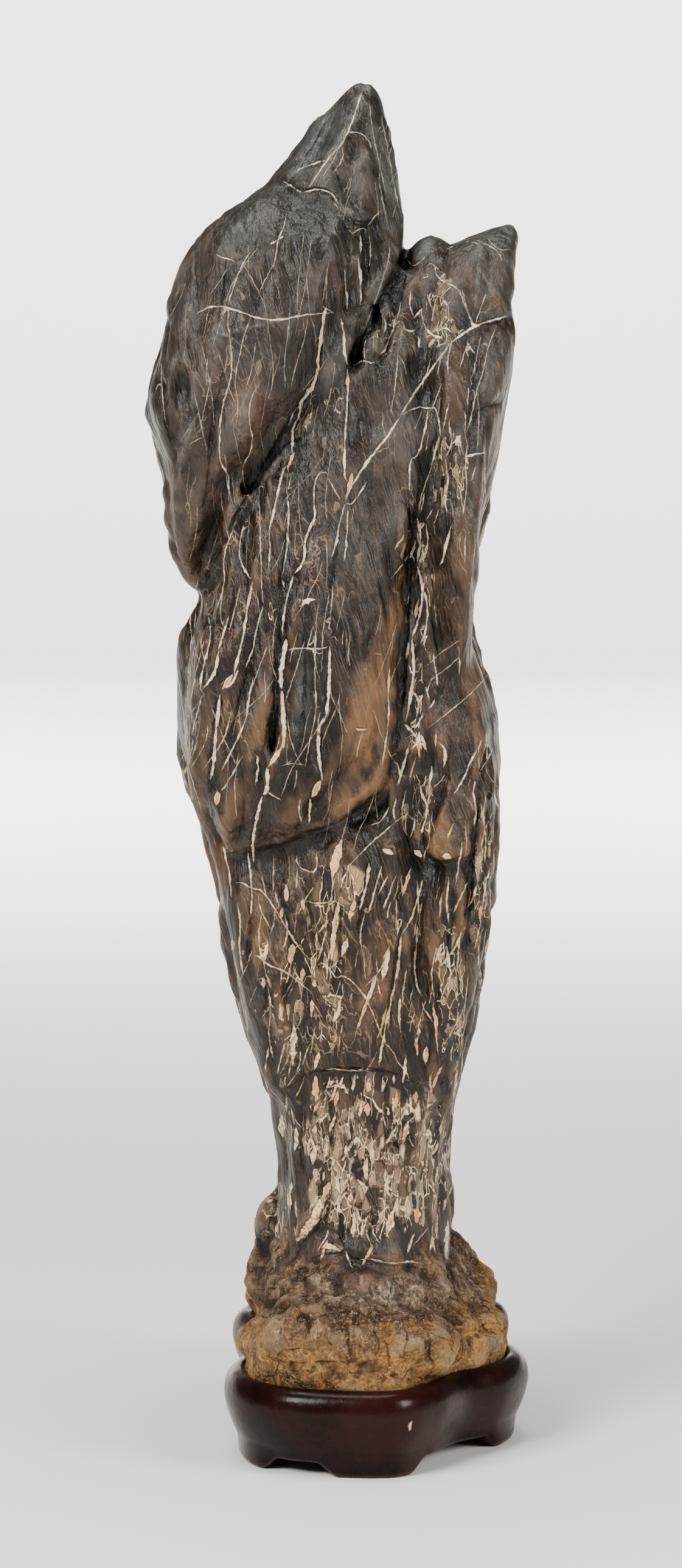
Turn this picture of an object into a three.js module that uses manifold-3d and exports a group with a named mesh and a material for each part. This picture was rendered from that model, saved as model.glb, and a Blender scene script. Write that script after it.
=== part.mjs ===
// A viewing stone (suiseki) on its carved wooden stand, in millimetres, +Z up.
// The stone is a tall pillar of dark, veined limestone: long slabs and tongues of rock that overlap
// like folded cloth, a narrow neck, and a broad weathered foot. It stands in a recess carved to fit it,
// in a low lobed stand of dark lacquered wood with six feet cut from the same block.
// The origin is the centre of the bounding box's bottom face; -Y is the narrow end that faces the viewer.

import * as THREE from "three";
import { mergeVertices } from "three/addons/utils/BufferGeometryUtils.js";
import { ImprovedNoise } from "three/addons/math/ImprovedNoise.js";
import Module from "manifold-3d";

// ---- Stand ----

// Plan of the stand at its widest level, as a closed curve: front, right, back, left. x, y in mm.
const STAND_PLAN = [
  [-12, -82], [8, -81.5], [21, -69], [31, -51], [45, -37], [52.2, -17], [48, 6],
  [41, 28], [43, 50], [48.5, 68], [38, 88], [12, 94.5], [-18, 91], [-42, 78],
  [-51, 56], [-45, 30], [-42.5, 8], [-47.5, -14], [-51.7, -37], [-47, -61], [-33, -76],
];
const STAND_SIDES = 48; // facets round the plan
const RIM_TOP = 29.5;
const RECESS_FLOOR = 18;
const UNDERSIDE = 6.5; // height of the hollowed underside between the feet
const APRON_EDGE = 4.7; // height of the lower edge between two feet
const FOOT_DEPTH_IN = 15.5; // how far the feet reach in from the widest outline
const FOOT_LENGTH = 29; // along the outline
const FOOT_FLARE = 9; // length over which an apron edge curves down into a foot
const STAND_GAP = 0.35; // clearance between the stone and the wood
const STAND_CENTRE = [0, 5];

// Centres of the six feet, each the nearest point of the plan to x, y.
const FEET = [[1, -81], [50, -20], [46, 72], [2, 95], [-50, 62], [-47, -52]];

// The side of the stand from its lower edge up over the rim and down into the recess:
// [height, distance in from the widest outline].
const STAND_PROFILE = [
  [9, 3.6], [15, 1.2], [21, 0], [25, 0.5], [27.8, 1.9],
  [29.2, 3.9], [RIM_TOP, 5.6], [28.8, 7.2], [RECESS_FLOOR, 7.8],
];

// ---- Stone ----

// Each slab or tongue is a stack of level sections, from its top to its bottom:
// [height, left x, right x, front y, back y]. Sections are superellipses, and "squareness" is their power.
// "twist" turns a slab about its own height, and "lean" makes its flutes lean over that many degrees of
// its way round, from top to bottom.

const CORE = {
  squareness: 2.9, around: 28, rows: 18, lean: -34,
  sections: [
    [424, -30, -2, -16, 16], [414, -46, 4, -30, 28], [402, -56, 9, -40, 38], [390, -63, 20, -47, 46],
    [370, -68, 30, -52, 54], [350, -69, 36, -55, 59], [330, -66, 35, -57, 62], [310, -64, 33, -58, 64],
    [290, -59.5, 30, -58, 65], [272, -62, 31, -59, 66], [257, -64, 34, -59, 66], [240, -64.5, 38, -59, 65],
    [220, -62, 38.4, -58, 64], [200, -55.6, 37, -58, 62], [177, -52, 35.2, -57, 60],
    [155, -48.4, 32.2, -55, 57], [137, -43.4, 29.6, -52, 54], [125, -39.2, 28.2, -50, 52],
    [116, -35.8, 26.8, -48, 51], [103, -34.2, 25.6, -47, 51], [86, -34.2, 24.8, -46, 52],
    [70, -34.8, 24.8, -46, 54], [56, -32, 24, -44, 52],
  ],
};

// Each starts inside the rock and comes out of it lower down, as shingles do, down to a lip.
const SLABS = [
  { // main peak, with a ridge down its face
    squareness: 1.65, around: 18, rows: 10,
    sections: [
      [461.8, -6, -1.5, -2, 4], [457.5, -10.5, 1.5, -8, 9], [450, -19, 4, -15, 14],
      [441, -27.8, 6.3, -22, 20], [430, -34.2, 8.4, -31, 25], [424, -41.4, 9.8, -36, 28],
      [418, -49.2, 10.8, -41, 30], [406, -61, 11.3, -48, 34],
      [392, -66.5, 6, -52, 38], [376, -65, 0, -50, 40],
    ],
  },
  { // broad upper left mass, its lower right edge standing proud like a fin
    squareness: 3.2, lean: -30, around: 26, rows: 13, twist: -8,
    sections: [
      [426, -33, -14, -30, 6], [420, -45.4, -2, -42, 20], [412, -57, 3.6, -52, 30], [401, -65, 3.5, -58, 38],
      [390, -69, 0, -62, 42], [379, -71.2, -4, -65, 46], [367, -72.4, -9, -66.5, 48],
      [354, -73.5, -19, -66.5, 48], [343, -72.8, -28, -64.5, 46], [328, -69.4, -40, -61, 44],
      [311, -68.8, -48, -55, 40], [301, -66.8, -54, -46, 34], [293, -61.8, -57, -34, 20],
    ],
  },
  { // knuckle on the left edge of that mass
    squareness: 2.3, around: 12, rows: 6,
    sections: [
      [384, -66.5, -50, -56, -30], [371, -71.2, -47, -62, -20], [360, -77, -45, -64, -13],
      [349, -78, -47, -64, -11], [338, -73.6, -50, -61, -13], [328, -70, -53, -57, -18],
      [315, -67.5, -57, -50, -28],
    ],
  },
  { // middle tongue, ending in an overhanging lip that climbs to the right
    squareness: 3, lean: -36, around: 26, rows: 14, twist: 6,
    sections: [
      [365, -32, 0, -48, 8], [345, -48, 7.5, -57, 14], [326, -57, 11.5, -63, 20], [308, -59.5, 12, -67, 24],
      [296, -60, 12, -69.5, 26], [285, -60.5, 11.5, -71, 28], [273, -66.8, 10.5, -72, 30],
      [255, -68, 9, -72.5, 30], [243, -67.2, 6.5, -71.5, 30], [232, -65.8, 0, -70, 28],
      [222, -63.4, -9, -66.5, 26], [214, -60, -18, -61, 22], [208, -56.4, -26, -53, 14],
    ],
  },
  { // tall right slab with the second peak
    squareness: 3.2, lean: -30, around: 20, rows: 13, twist: 9,
    sections: [
      [413.4, 43.5, 46.4, -5, 1], [411, 36, 47.4, -15, 7], [408, 28, 47.6, -23, 12], [403, 19, 46.9, -32, 17],
      [394, 11, 45.2, -40, 21], [384, 8, 43.3, -46, 25], [370, 6, 41.2, -51, 28], [352, 6, 39.6, -55, 30],
      [330, 8, 37, -58.5, 33], [304, 10, 34, -59.5, 35], [284, 12, 32, -58.5, 35], [262, 14, 30.5, -52, 31],
    ],
  },
  { // small knob in the notch between the two peaks
    squareness: 2, around: 10, rows: 6,
    sections: [
      [409.8, 16, 20, -14, -8], [407.8, 12, 24, -22, 0], [402, 10, 26, -28, 8], [392, 8, 28, -34, 14],
      [380, 10, 26, -38, 14],
    ],
  },
  { // outer flake of the right slab, below its notch
    squareness: 2.2, lean: 14, around: 14, rows: 7, twist: 5,
    sections: [
      [385, 37, 43, -37, -20], [381, 32, 45.2, -45, -8], [370, 27, 45, -51, 6], [355, 24, 43.4, -53, 18],
      [341, 22, 42, -51, 27], [330, 22, 39.2, -43, 31], [316, 22, 36.6, -28, 31], [302, 22, 33.6, -10, 24],
    ],
  },
  { // shingle on the right side
    squareness: 2.8, lean: 20, around: 14, rows: 7, twist: -10,
    sections: [
      [384, 18, 30, 8, 40], [360, 18, 37.5, -2, 50], [335, 18, 37.2, -10, 56], [310, 16, 35.6, -14, 58],
      [288, 16, 33.6, -12, 56], [272, 18, 31.8, -4, 50], [262, 21, 29.6, 6, 42],
    ],
  },
  { // long rib down the lower right
    squareness: 2.6, lean: 16, around: 18, rows: 11,
    sections: [
      [288, 18, 29, -38, 20], [268, 16, 34, -50, 30], [250, 14, 39, -55, 36], [236, 12, 41.2, -58, 40],
      [220, 11, 42.4, -60.5, 44], [200, 10, 41, -61.5, 46], [179, 9, 38.8, -60, 46], [157, 9, 34.4, -57, 42],
      [142, 9, 31.8, -53, 36], [130, 10, 29, -48, 28], [118, 12, 26.6, -40, 16],
    ],
  },
  { // narrow tongue left of the rib, under the overhanging lip
    squareness: 2.4, lean: 16, around: 14, rows: 7,
    sections: [
      [240, -24, -6, -52, -30], [220, -28, 3, -61, -30], [198, -30, 7, -64, -28], [176, -28, 8, -63, -28],
      [158, -24, 7, -60, -28], [144, -19, 5, -55, -30], [130, -12, 1, -48, -34],
    ],
  },
  { // left edge of the lower body
    squareness: 2.8, lean: 26, around: 16, rows: 9,
    sections: [
      [226, -59, -36, -36, 26], [204, -56.6, -28, -54, 40], [182, -53.2, -22, -60, 48],
      [162, -50.4, -18, -59, 50], [145, -46, -18, -55, 46], [133, -41.8, -20, -49, 36],
      [121, -37, -24, -40, 20],
    ],
  },
  { // small rear peak, lower than the main one
    squareness: 1.8, around: 14, rows: 6,
    sections: [
      [437, -19, -12, 24, 30], [431, -25, -5, 18, 38], [420, -31, 1, 16, 46], [405, -36, 8, 14, 54],
      [385, -40, 12, 12, 58], [360, -38, 10, 12, 59],
    ],
  },
  { // upper back slab
    squareness: 2.9, lean: 30, around: 18, rows: 9, twist: 8,
    sections: [
      [412, -48, -22, 4, 42], [394, -60, -10, 4, 54], [370, -68, -1, 4, 62], [345, -70, 2, 6, 68],
      [318, -67, 1, 8, 72], [296, -60, -5, 12, 74], [280, -52, -13, 18, 73], [270, -44, -20, 26, 68],
    ],
  },
  { // long back tongue
    squareness: 2.9, lean: -34, around: 18, rows: 10, twist: -8,
    sections: [
      [398, 4, 24, 12, 38], [376, -2, 30, 8, 54], [345, -8, 34.5, 8, 65], [306, -11, 32, 10, 73],
      [266, -10, 30.5, 12, 76.5], [238, -6, 30, 16, 77], [223, 0, 27, 22, 74.5], [213, 8, 21, 32, 69],
    ],
  },
  { // lower back tongue
    squareness: 2.9, lean: 36, around: 18, rows: 9, twist: 8,
    sections: [
      [300, -52, -22, -2, 48], [272, -60, -12, -4, 62], [242, -62.5, -4, -2, 71], [210, -57, -2, 2, 75],
      [186, -49.5, -5, 8, 74], [171, -41, -10, 14, 69.5], [162, -34, -16, 22, 63],
    ],
  },
  { // buttress from the back of the waist to the foot
    squareness: 2.5, lean: -24, around: 14, rows: 9,
    sections: [
      [222, 6, 24, 12, 54], [200, 0, 31, 2, 64], [168, -5, 30.5, -4, 69], [138, -7, 27, -4, 67.5],
      [110, -9, 24.5, 0, 65], [86, -11, 24.5, 6, 67], [66, -13, 26, 10, 73], [50, -12, 27, 14, 77],
    ],
  },
];

// The foot of the stone, which fills the stand's recess and swells over its rim.
const FOOT = {
  around: 30, rows: 10,
  bottom: RECESS_FLOOR - 1,
  top: 90,
  seatInset: 7, // inside the widest outline of the stand, before the wood is cut away from it
  swell: 2.6, // how far it swells back out above the rim
  swellHeight: 35,
  neck: [-34, 26, -48, 55], // left, right, front and back of the section that it narrows to
};
const SHOULDER_HEIGHT = 76; // where the foot starts to spread, at the front and back
const SHOULDER_SLOPE = 10; // how much higher that is on the left, and lower on the right
const LEDGE_DEPTH = 2; // ledges round the foot
const LEDGE_HEIGHT = 2.4; // their spacing, over 2 pi

// Weathered lumps on the foot: centre x, y, z, then half its size along each of them, then a turn in degrees.
const LUMPS = [
  [-28, 24, 50, 17, 34, 20, 8], // left rear shoulder, stepped
  [-29, 16, 68, 13, 19, 15, -14],
  [-33, -30, 35, 13, 22, 12, 14],
  [22, 46, 38, 22, 30, 13, -3], // terraces of the right rear shoulder
  [17, 38, 51, 19, 27, 13, 7],
  [29, -20, 33, 16, 18, 9, 4], // bulge above the right lobe
  [-16, -52, 42, 26, 22, 19, 10], // front skirt
  [9, -52, 40, 18, 19, 15, -20],
  [6, 68, 42, 28, 20, 21, 9], // back of the foot
];

// Folds in the rock: creases are cut in and ridges stand out. Each follows a path over one side of the
// rock, as [across, height]: across is x on the front and back, and y on the left and right. A crease's
// deepest line lies "lean" to its right, seen down its path. Sizes are half the width, then the depth.
const CREASES = [
  { // the deep one under the fin
    side: "front", size: [4.2, 7], lean: -3,
    path: [[8, 410], [6, 396], [-0.5, 386], [-4, 378], [-8, 367], [-15, 356]],
  },
  { // under the upper left mass
    side: "front", size: [4.6, 6], lean: 4,
    path: [[-8, 362], [-24, 352], [-29, 346], [-45, 321], [-61, 292]],
  },
  { // between the middle tongue and the right slab
    side: "front", size: [3.4, 5],
    path: [[8, 336], [11.5, 316], [11.5, 300], [10.2, 285], [9.5, 269], [5, 236]],
  },
  { side: "front", size: [3, 4], path: [[9, 402], [14, 391], [13, 374], [8.5, 358], [9, 330]] },
  { // down the middle tongue
    side: "front", size: [3.4, 4.5],
    path: [[-29, 318], [-31, 295], [-32.7, 262], [-31.5, 244], [-36.5, 232], [-41, 210]],
  },
  { side: "front", size: [2.8, 3.4], path: [[32, 272], [30.5, 255], [30, 236], [30.6, 206], [28, 150]] },
  { side: "front", size: [2.8, 3], path: [[-23, 138], [-21, 118], [-22, 98], [-20, 78]] },
  { side: "back", size: [3.6, 4.5], path: [[-4, 396], [-2, 366], [-6, 330], [-3, 296], [-5, 262]] },
];

const RIDGES = [
  { // the fin's edge
    side: "front", size: [4, 3.4],
    path: [[-7, 418], [-0.8, 412], [2.2, 405], [2, 399], [-5.2, 383], [-11, 366], [-19, 358]],
  },
  { side: "front", size: [3.6, 2.4], path: [[-16, 350], [-24, 334], [-29, 318], [-40, 300], [-44, 282]] },
  { side: "front", size: [3.2, 2.4], path: [[36, 262], [36, 236], [37, 210], [34, 182], [31, 156]] },
];
const FOLD_STEP = 17; // distance between the points of a fold
const FOLD_PROUD = 3; // how far a crease's cut and a ridge's root reach past the rock's face

// Small hollows: the side and place as above, then the hollow's half width, half height and depth.
const HOLLOWS = [
  ["front", 7, 106, 2.6, 6, 3.2], ["front", -36, 56, 4.2, 3, 3],
];

// Fine relief: flutes that follow the flow of the rock, lumps, and a rougher foot.
const FLUTE_DEPTH = 3;
const FLUTE_PATCH = 38; // distance over which the flutes grow and fade
const RELIEF_SINK = 0.9; // so that the rock's outline is where its proud parts are
const RELIEF_FADE = 24; // the relief fades nearer than this to a slab's middle
const LUMP_DEPTH = 1.6;
const LUMP_SIZE = 34;
const ROUGH_DEPTH = 2.4;
const ROUGH_SIZE = 13;
const ROUGH_BELOW = 62; // the weathered foot is rough up to about this height

const STONE_COLOUR = 0x453c37;
const WOOD_COLOUR = 0x2a1212;

const wasm = await Module();
wasm.setup();

// A geometry whose equal points are merged, as a manifold-3d solid.
function solidOf(geometry) {
  const bare = geometry.clone();
  bare.deleteAttribute("normal");
  bare.deleteAttribute("uv");
  const merged = mergeVertices(bare, 1e-3);
  return new wasm.Manifold(
    new wasm.Mesh({
      numProp: 3,
      vertProperties: new Float32Array(merged.attributes.position.array),
      triVerts: new Uint32Array(merged.index.array),
    }),
  );
}

// A solid back as a three.js geometry.
function geometryOf(solid) {
  const mesh = solid.getMesh();
  const points = new Float32Array(mesh.numVert * 3);
  for (let i = 0; i < mesh.numVert; i++) {
    const start = i * mesh.numProp;
    points.set(mesh.vertProperties.subarray(start, start + 3), i * 3);
  }
  const geometry = new THREE.BufferGeometry();
  geometry.setAttribute("position", new THREE.BufferAttribute(points, 3));
  geometry.setIndex(new THREE.BufferAttribute(new Uint32Array(mesh.triVerts), 1));
  geometry.computeVertexNormals();
  return geometry;
}

// A sphere's net of rows and columns, reshaped: pointAt(row, angle, column) places each of its points.
// Row 0 is the top pole and the last row the bottom pole; angle 0 is +X and 90 degrees is +Y.
function shapedNet(columns, rows, pointAt) {
  const net = new THREE.SphereGeometry(1, columns, rows);
  const position = net.attributes.position;
  for (let row = 0; row <= rows; row++) {
    for (let column = 0; column <= columns; column++) {
      const angle = Math.PI + (2 * Math.PI * (column % columns)) / columns;
      position.setXYZ(row * (columns + 1) + column, ...pointAt(row, angle, column % columns));
    }
  }
  return net;
}

const mix = (a, b, share) => a + (b - a) * share;

function smoothStep(low, high, value) {
  const share = THREE.MathUtils.clamp((value - low) / (high - low), 0, 1);
  return share * share * (3 - 2 * share);
}

const noise = new ImprovedNoise();

// How far the rock stands out of its plain form at a point. Columns of the net take turns to stand in and
// out, so the rock is fluted along its flow. The weathered foot is rough instead.
function relief(x, y, z, column) {
  const roughShare = 1 - smoothStep(ROUGH_BELOW - 14, ROUGH_BELOW + 14, z);
  const strength = 0.35 + Math.abs(noise.noise(x / FLUTE_PATCH, y / FLUTE_PATCH, z / FLUTE_PATCH - 4)) * 2;
  const flute = (column % 2 ? -0.5 : 0.5) * FLUTE_DEPTH * strength;
  const lump = LUMP_DEPTH * noise.noise(x / LUMP_SIZE + 7, y / LUMP_SIZE, z / LUMP_SIZE);
  const rough = ROUGH_DEPTH * noise.noise(x / ROUGH_SIZE, y / ROUGH_SIZE + 3, z / ROUGH_SIZE);
  return (1 - roughShare) * flute + lump + roughShare * rough - RELIEF_SINK;
}

// Moves a point of a section out or in by the relief there.
function withRelief(x, y, z, centreX, centreY, column) {
  const away = Math.hypot(x - centreX, y - centreY);
  if (away < 0.5) return [x, y, z];
  const share = (relief(x, y, z, column) * Math.min(1, away / RELIEF_FADE)) / away;
  return [x + (x - centreX) * share, y + (y - centreY) * share, z];
}

const OUTLINE_ANGLES = Array.from({ length: 60 }, (_, i) => (2 * Math.PI * i) / 60);

// One slab, tongue or core: the sections are joined by smooth curves through their numbers.
// A turned section is stretched back, so that its four sides stay where the numbers put them.
function slabGeometry({ sections, squareness, around, rows, twist = 0, lean = 0 }) {
  const turn = THREE.MathUtils.degToRad(twist);
  const sides = new THREE.CatmullRomCurve3(
    sections.map(([z, left, right]) => new THREE.Vector3(left, right, z)),
  );
  const depths = new THREE.CatmullRomCurve3(
    sections.map(([z, , , front, back]) => new THREE.Vector3(front, back, z)),
  );
  return shapedNet(around, rows, (row, angle, column) => {
    const share = THREE.MathUtils.clamp((row - 1) / (rows - 2), 0, 1);
    const side = sides.getPoint(share);
    const depth = depths.getPoint(share);
    const centreX = (side.x + side.y) / 2;
    const centreY = (depth.x + depth.y) / 2;
    const atPole = row === 0 || row === rows;
    if (atPole) return [centreX, centreY, side.z + (row === 0 ? 0.6 : -0.6)];
    const halfX = (side.y - side.x) / 2;
    const halfY = (depth.y - depth.x) / 2;
    const turned = (at) => {
      const across = Math.sign(Math.cos(at)) * Math.abs(Math.cos(at)) ** (2 / squareness) * halfX;
      const along = Math.sign(Math.sin(at)) * Math.abs(Math.sin(at)) ** (2 / squareness) * halfY;
      return [
        across * Math.cos(turn) - along * Math.sin(turn),
        across * Math.sin(turn) + along * Math.cos(turn),
      ];
    };
    const outline = twist ? OUTLINE_ANGLES.map(turned) : [[halfX, halfY]];
    const reachX = Math.max(...outline.map(([x]) => x));
    const reachY = Math.max(...outline.map(([, y]) => y));
    const [x, y] = turned(angle + THREE.MathUtils.degToRad(lean) * (share - 0.5));
    return withRelief(
      centreX + (x * halfX) / reachX,
      centreY + (y * halfY) / reachY,
      side.z,
      centreX,
      centreY,
      column,
    );
  });
}

const planCurve = new THREE.CatmullRomCurve3(
  STAND_PLAN.map(([x, y]) => new THREE.Vector3(x, y, 0)),
  true,
  "centripetal",
);
planCurve.arcLengthDivisions = 800;

// The plan's points at even steps, each with the direction that points straight in.
function planPoints(count) {
  return Array.from({ length: count }, (_, i) => {
    const point = planCurve.getPointAt(i / count);
    const along = planCurve.getTangentAt(i / count);
    return { x: point.x, y: point.y, inX: -along.y, inY: along.x };
  });
}

// How far the plan is from the stand's centre in a direction.
function planRadius(angle, inset) {
  let best = Infinity;
  let radius = 0;
  for (const p of FINE_PLAN) {
    const x = p.x + p.inX * inset - STAND_CENTRE[0];
    const y = p.y + p.inY * inset - STAND_CENTRE[1];
    const off = Math.abs(Math.atan2(Math.sin(Math.atan2(y, x) - angle), Math.cos(Math.atan2(y, x) - angle)));
    if (off < best) {
      best = off;
      radius = Math.hypot(x, y);
    }
  }
  return radius;
}
const FINE_PLAN = planPoints(720);

// 1 over a foot and 0 over the arch between two feet.
function footShare(point) {
  let share = 0;
  for (const [x, y] of FEET) {
    const away = Math.hypot(point.x - x, point.y - y) - FOOT_LENGTH / 2;
    share = Math.max(share, 1 - smoothStep(0, FOOT_FLARE, away));
  }
  return share;
}

// The stand as one carved block. grow makes it larger on every side, for the clearance round the stone.
function standGeometry(grow = 0) {
  const plan = planPoints(STAND_SIDES);
  const lower = [
    [UNDERSIDE, FOOT_DEPTH_IN + 1.5],
    [null, FOOT_DEPTH_IN],
    [null, 6.2],
    [null, 5.2],
  ];
  const profile = [...lower, ...STAND_PROFILE].reverse();
  const rows = profile.length + 1;
  return shapedNet(STAND_SIDES, rows, (row, angle) => {
    const [centreX, centreY] = STAND_CENTRE;
    if (row === 0) return [centreX, centreY, RECESS_FLOOR + grow];
    if (row === rows) return [centreX, centreY, UNDERSIDE - grow];
    const index = Math.round(((angle - Math.PI) / (2 * Math.PI)) * STAND_SIDES) % STAND_SIDES;
    const p = plan[index];
    const [height, inset] = profile[row - 1];
    const edge = APRON_EDGE * (1 - footShare(p));
    const isLip = row === rows - 4;
    const z = height ?? edge + (isLip ? 1.3 : 0);
    const faces = row <= 3 ? -1 : 1; // the recess wall moves in as the wood grows
    const outward = inset - faces * grow;
    const upward = row <= 4 ? grow : 0;
    return [p.x + p.inX * outward, p.y + p.inY * outward, z + upward];
  });
}

// The foot of the stone: the stand's plan at the bottom, swelling over the rim, narrowing to the neck.
function footGeometry() {
  const { around, rows, bottom, top, seatInset, swell, swellHeight, neck } = FOOT;
  const [centreX, centreY] = STAND_CENTRE;
  const [left, right, front, back] = neck;
  return shapedNet(around, rows, (row, angle, column) => {
    const share = THREE.MathUtils.clamp((row - 1) / (rows - 2), 0, 1);
    const z = mix(top, bottom, share ** 0.8);
    if (row === 0 || row === rows) return [centreX, centreY, z];
    const rearward = smoothStep(-0.5, 0.7, Math.sin(angle));
    const shoulder = SHOULDER_HEIGHT - SHOULDER_SLOPE * Math.cos(angle);
    const narrowing = smoothStep(mix(33, 40, rearward), shoulder, z);
    const halfX = Math.cos(angle) < 0 ? -left : right;
    const halfY = Math.sin(angle) < 0 ? centreY - front : back - centreY;
    const neckRadius = 1 / Math.hypot(Math.cos(angle) / halfX, Math.sin(angle) / halfY);
    const swelling = swell * Math.exp(-(((z - swellHeight) / 8) ** 2));
    const ledge = LEDGE_DEPTH * Math.sin(z / LEDGE_HEIGHT + 2 * Math.sin(2 * angle));
    const wide = planRadius(angle, seatInset) + swelling + ledge * smoothStep(34, 42, z);
    const radius = mix(wide, neckRadius, narrowing);
    const x = centreX + radius * Math.cos(angle);
    const y = centreY + radius * Math.sin(angle);
    return withRelief(x, y, z, centreX, centreY, column);
  });
}

// A low, faceted lump of weathered rock.
function lumpGeometry([x, y, z, halfX, halfY, halfZ, turn]) {
  const lump = new THREE.IcosahedronGeometry(1, 1);
  lump.rotateX(x);
  lump.scale(halfX, halfY, halfZ);
  lump.rotateZ(THREE.MathUtils.degToRad(turn));
  const position = lump.attributes.position;
  const at = new THREE.Vector3();
  for (let i = 0; i < position.count; i++) {
    at.fromBufferAttribute(position, i);
    const bump = noise.noise((x + at.x) / ROUGH_SIZE, (y + at.y) / ROUGH_SIZE + 5, (z + at.z) / ROUGH_SIZE);
    at.multiplyScalar(1 + 0.3 * bump).add({ x, y, z });
    position.setXYZ(i, at.x, at.y, at.z);
  }
  return lump;
}

// Which way each side of the rock faces, and where a place on that side is in space.
const SIDES = {
  front: { out: [0, -1, 0], place: (across, z) => [across, -300, z] },
  back: { out: [0, 1, 0], place: (across, z) => [across, 300, z] },
  left: { out: [-1, 0, 0], place: (across, z) => [-300, across, z] },
  right: { out: [1, 0, 0], place: (across, z) => [300, across, z] },
};

// The point of the rock's face seen from a side, or null past its outline.
function faceOf(rock, side, across, z) {
  const { out, place } = SIDES[side];
  const from = new THREE.Vector3(...place(across, z));
  const inward = new THREE.Vector3(...out).negate();
  const [hit] = new THREE.Raycaster(from, inward).intersectObject(rock);
  return hit ? hit.point : null;
}

// A blade that follows a path over the rock's face. It reaches "up" out of the face and "down" into it.
function bladeGeometry(rock, { side, path, size, lean = 0 }, up, down) {
  const curve = new THREE.CatmullRomCurve3(path.map(([across, z]) => new THREE.Vector3(across, 0, z)));
  const count = Math.max(4, Math.round(curve.getLength() / FOLD_STEP));
  const out = new THREE.Vector3(...SIDES[side].out);
  const line = curve.getSpacedPoints(count).map((p) => faceOf(rock, side, p.x, p.z)).filter(Boolean);
  const smooth = line.map((p, i) => {
    const before = line[Math.max(i - 1, 0)];
    const after = line[Math.min(i + 1, line.length - 1)];
    return new THREE.Vector3().add(before).add(p).add(after).divideScalar(3);
  });
  const last = smooth.length - 1;
  const rows = last + 2;
  return shapedNet(4, rows, (row, angle) => {
    const i = THREE.MathUtils.clamp(row - 1, 0, last);
    const at = smooth[i];
    const along = smooth[Math.min(i + 1, last)].clone().sub(smooth[Math.max(i - 1, 0)]).normalize();
    if (row === 0) return at.clone().addScaledVector(along, -3).toArray();
    if (row === rows) return at.clone().addScaledVector(along, 3).toArray();
    const across = new THREE.Vector3().crossVectors(along, out).normalize();
    const taper = 0.25 + 0.75 * Math.sin((Math.PI * (i + 0.5)) / (last + 1)) ** 0.7;
    const sideways = Math.cos(angle) * size[0] * taper;
    const outward = Math.sin(angle) > 0 ? Math.sin(angle) * up * taper : Math.sin(angle) * down * taper;
    const shift = outward < -0.1 * down ? lean * taper : 0;
    return at.clone().addScaledVector(across, sideways + shift).addScaledVector(out, outward).toArray();
  });
}

const creaseGeometry = (rock, crease) => bladeGeometry(rock, crease, FOLD_PROUD, crease.size[1]);
const ridgeGeometry = (rock, ridge) => bladeGeometry(rock, ridge, ridge.size[1], FOLD_PROUD);

function hollowGeometry(rock, [side, across, z, halfWidth, halfHeight, depth]) {
  const hollow = new THREE.SphereGeometry(1, 6, 4);
  const crosswise = side === "front" || side === "back";
  hollow.scale(crosswise ? halfWidth : depth, halfHeight, crosswise ? depth : halfWidth);
  hollow.rotateX(Math.PI / 2);
  const { x, y } = faceOf(rock, side, across, z);
  hollow.translate(x, y, z);
  return hollow;
}

// Every slab, the core and the foot joined in one rock, its folds added, and the wood's place cut away.
function stoneGeometry() {
  const pieces = [slabGeometry(CORE), footGeometry(), ...SLABS.map(slabGeometry), ...LUMPS.map(lumpGeometry)];
  let rock = solidOf(pieces[0]);
  for (const piece of pieces.slice(1)) rock = rock.add(solidOf(piece));
  const plain = new THREE.Mesh(geometryOf(rock), new THREE.MeshStandardMaterial());
  for (const ridge of RIDGES) rock = rock.add(solidOf(ridgeGeometry(plain, ridge)));
  for (const crease of CREASES) rock = rock.subtract(solidOf(creaseGeometry(plain, crease)));
  for (const hollow of HOLLOWS) rock = rock.subtract(solidOf(hollowGeometry(plain, hollow)));
  rock = rock.subtract(solidOf(standGeometry(STAND_GAP)));
  const bodies = rock.decompose().sort((a, b) => b.volume() - a.volume());
  return geometryOf(bodies[0]); // without the loose slivers that the cuts leave
}

function namedMesh(name, geometry, colour, roughness) {
  const material = new THREE.MeshStandardMaterial({ color: colour, roughness, metalness: 0 });
  const mesh = new THREE.Mesh(geometry, material);
  mesh.name = name;
  return mesh;
}

const suiseki = new THREE.Group();
suiseki.add(namedMesh("stone", stoneGeometry(), STONE_COLOUR, 0.5));
suiseki.add(namedMesh("stand", geometryOf(solidOf(standGeometry())), WOOD_COLOUR, 0.3));

const box = new THREE.Box3().setFromObject(suiseki);
const centre = box.getCenter(new THREE.Vector3());
for (const mesh of suiseki.children) mesh.position.set(-centre.x, -centre.y, -box.min.z);

export default suiseki;
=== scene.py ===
"""The looks of a viewing stone on its carved wooden stand.

The stone is the model's own solid, remeshed finely and smoothed. Its folds, ridges, hollows and
weathered foot are worked in, and its calcite veins are laid on it as lines. The stand is lofted
afresh, with a rolled rim and six feet, and lacquered.
"""

import logging
import math
import random
from collections.abc import Callable
from dataclasses import dataclass, field
from enum import Enum

import bmesh
import bpy
import numpy as np
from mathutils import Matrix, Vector, noise


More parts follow.
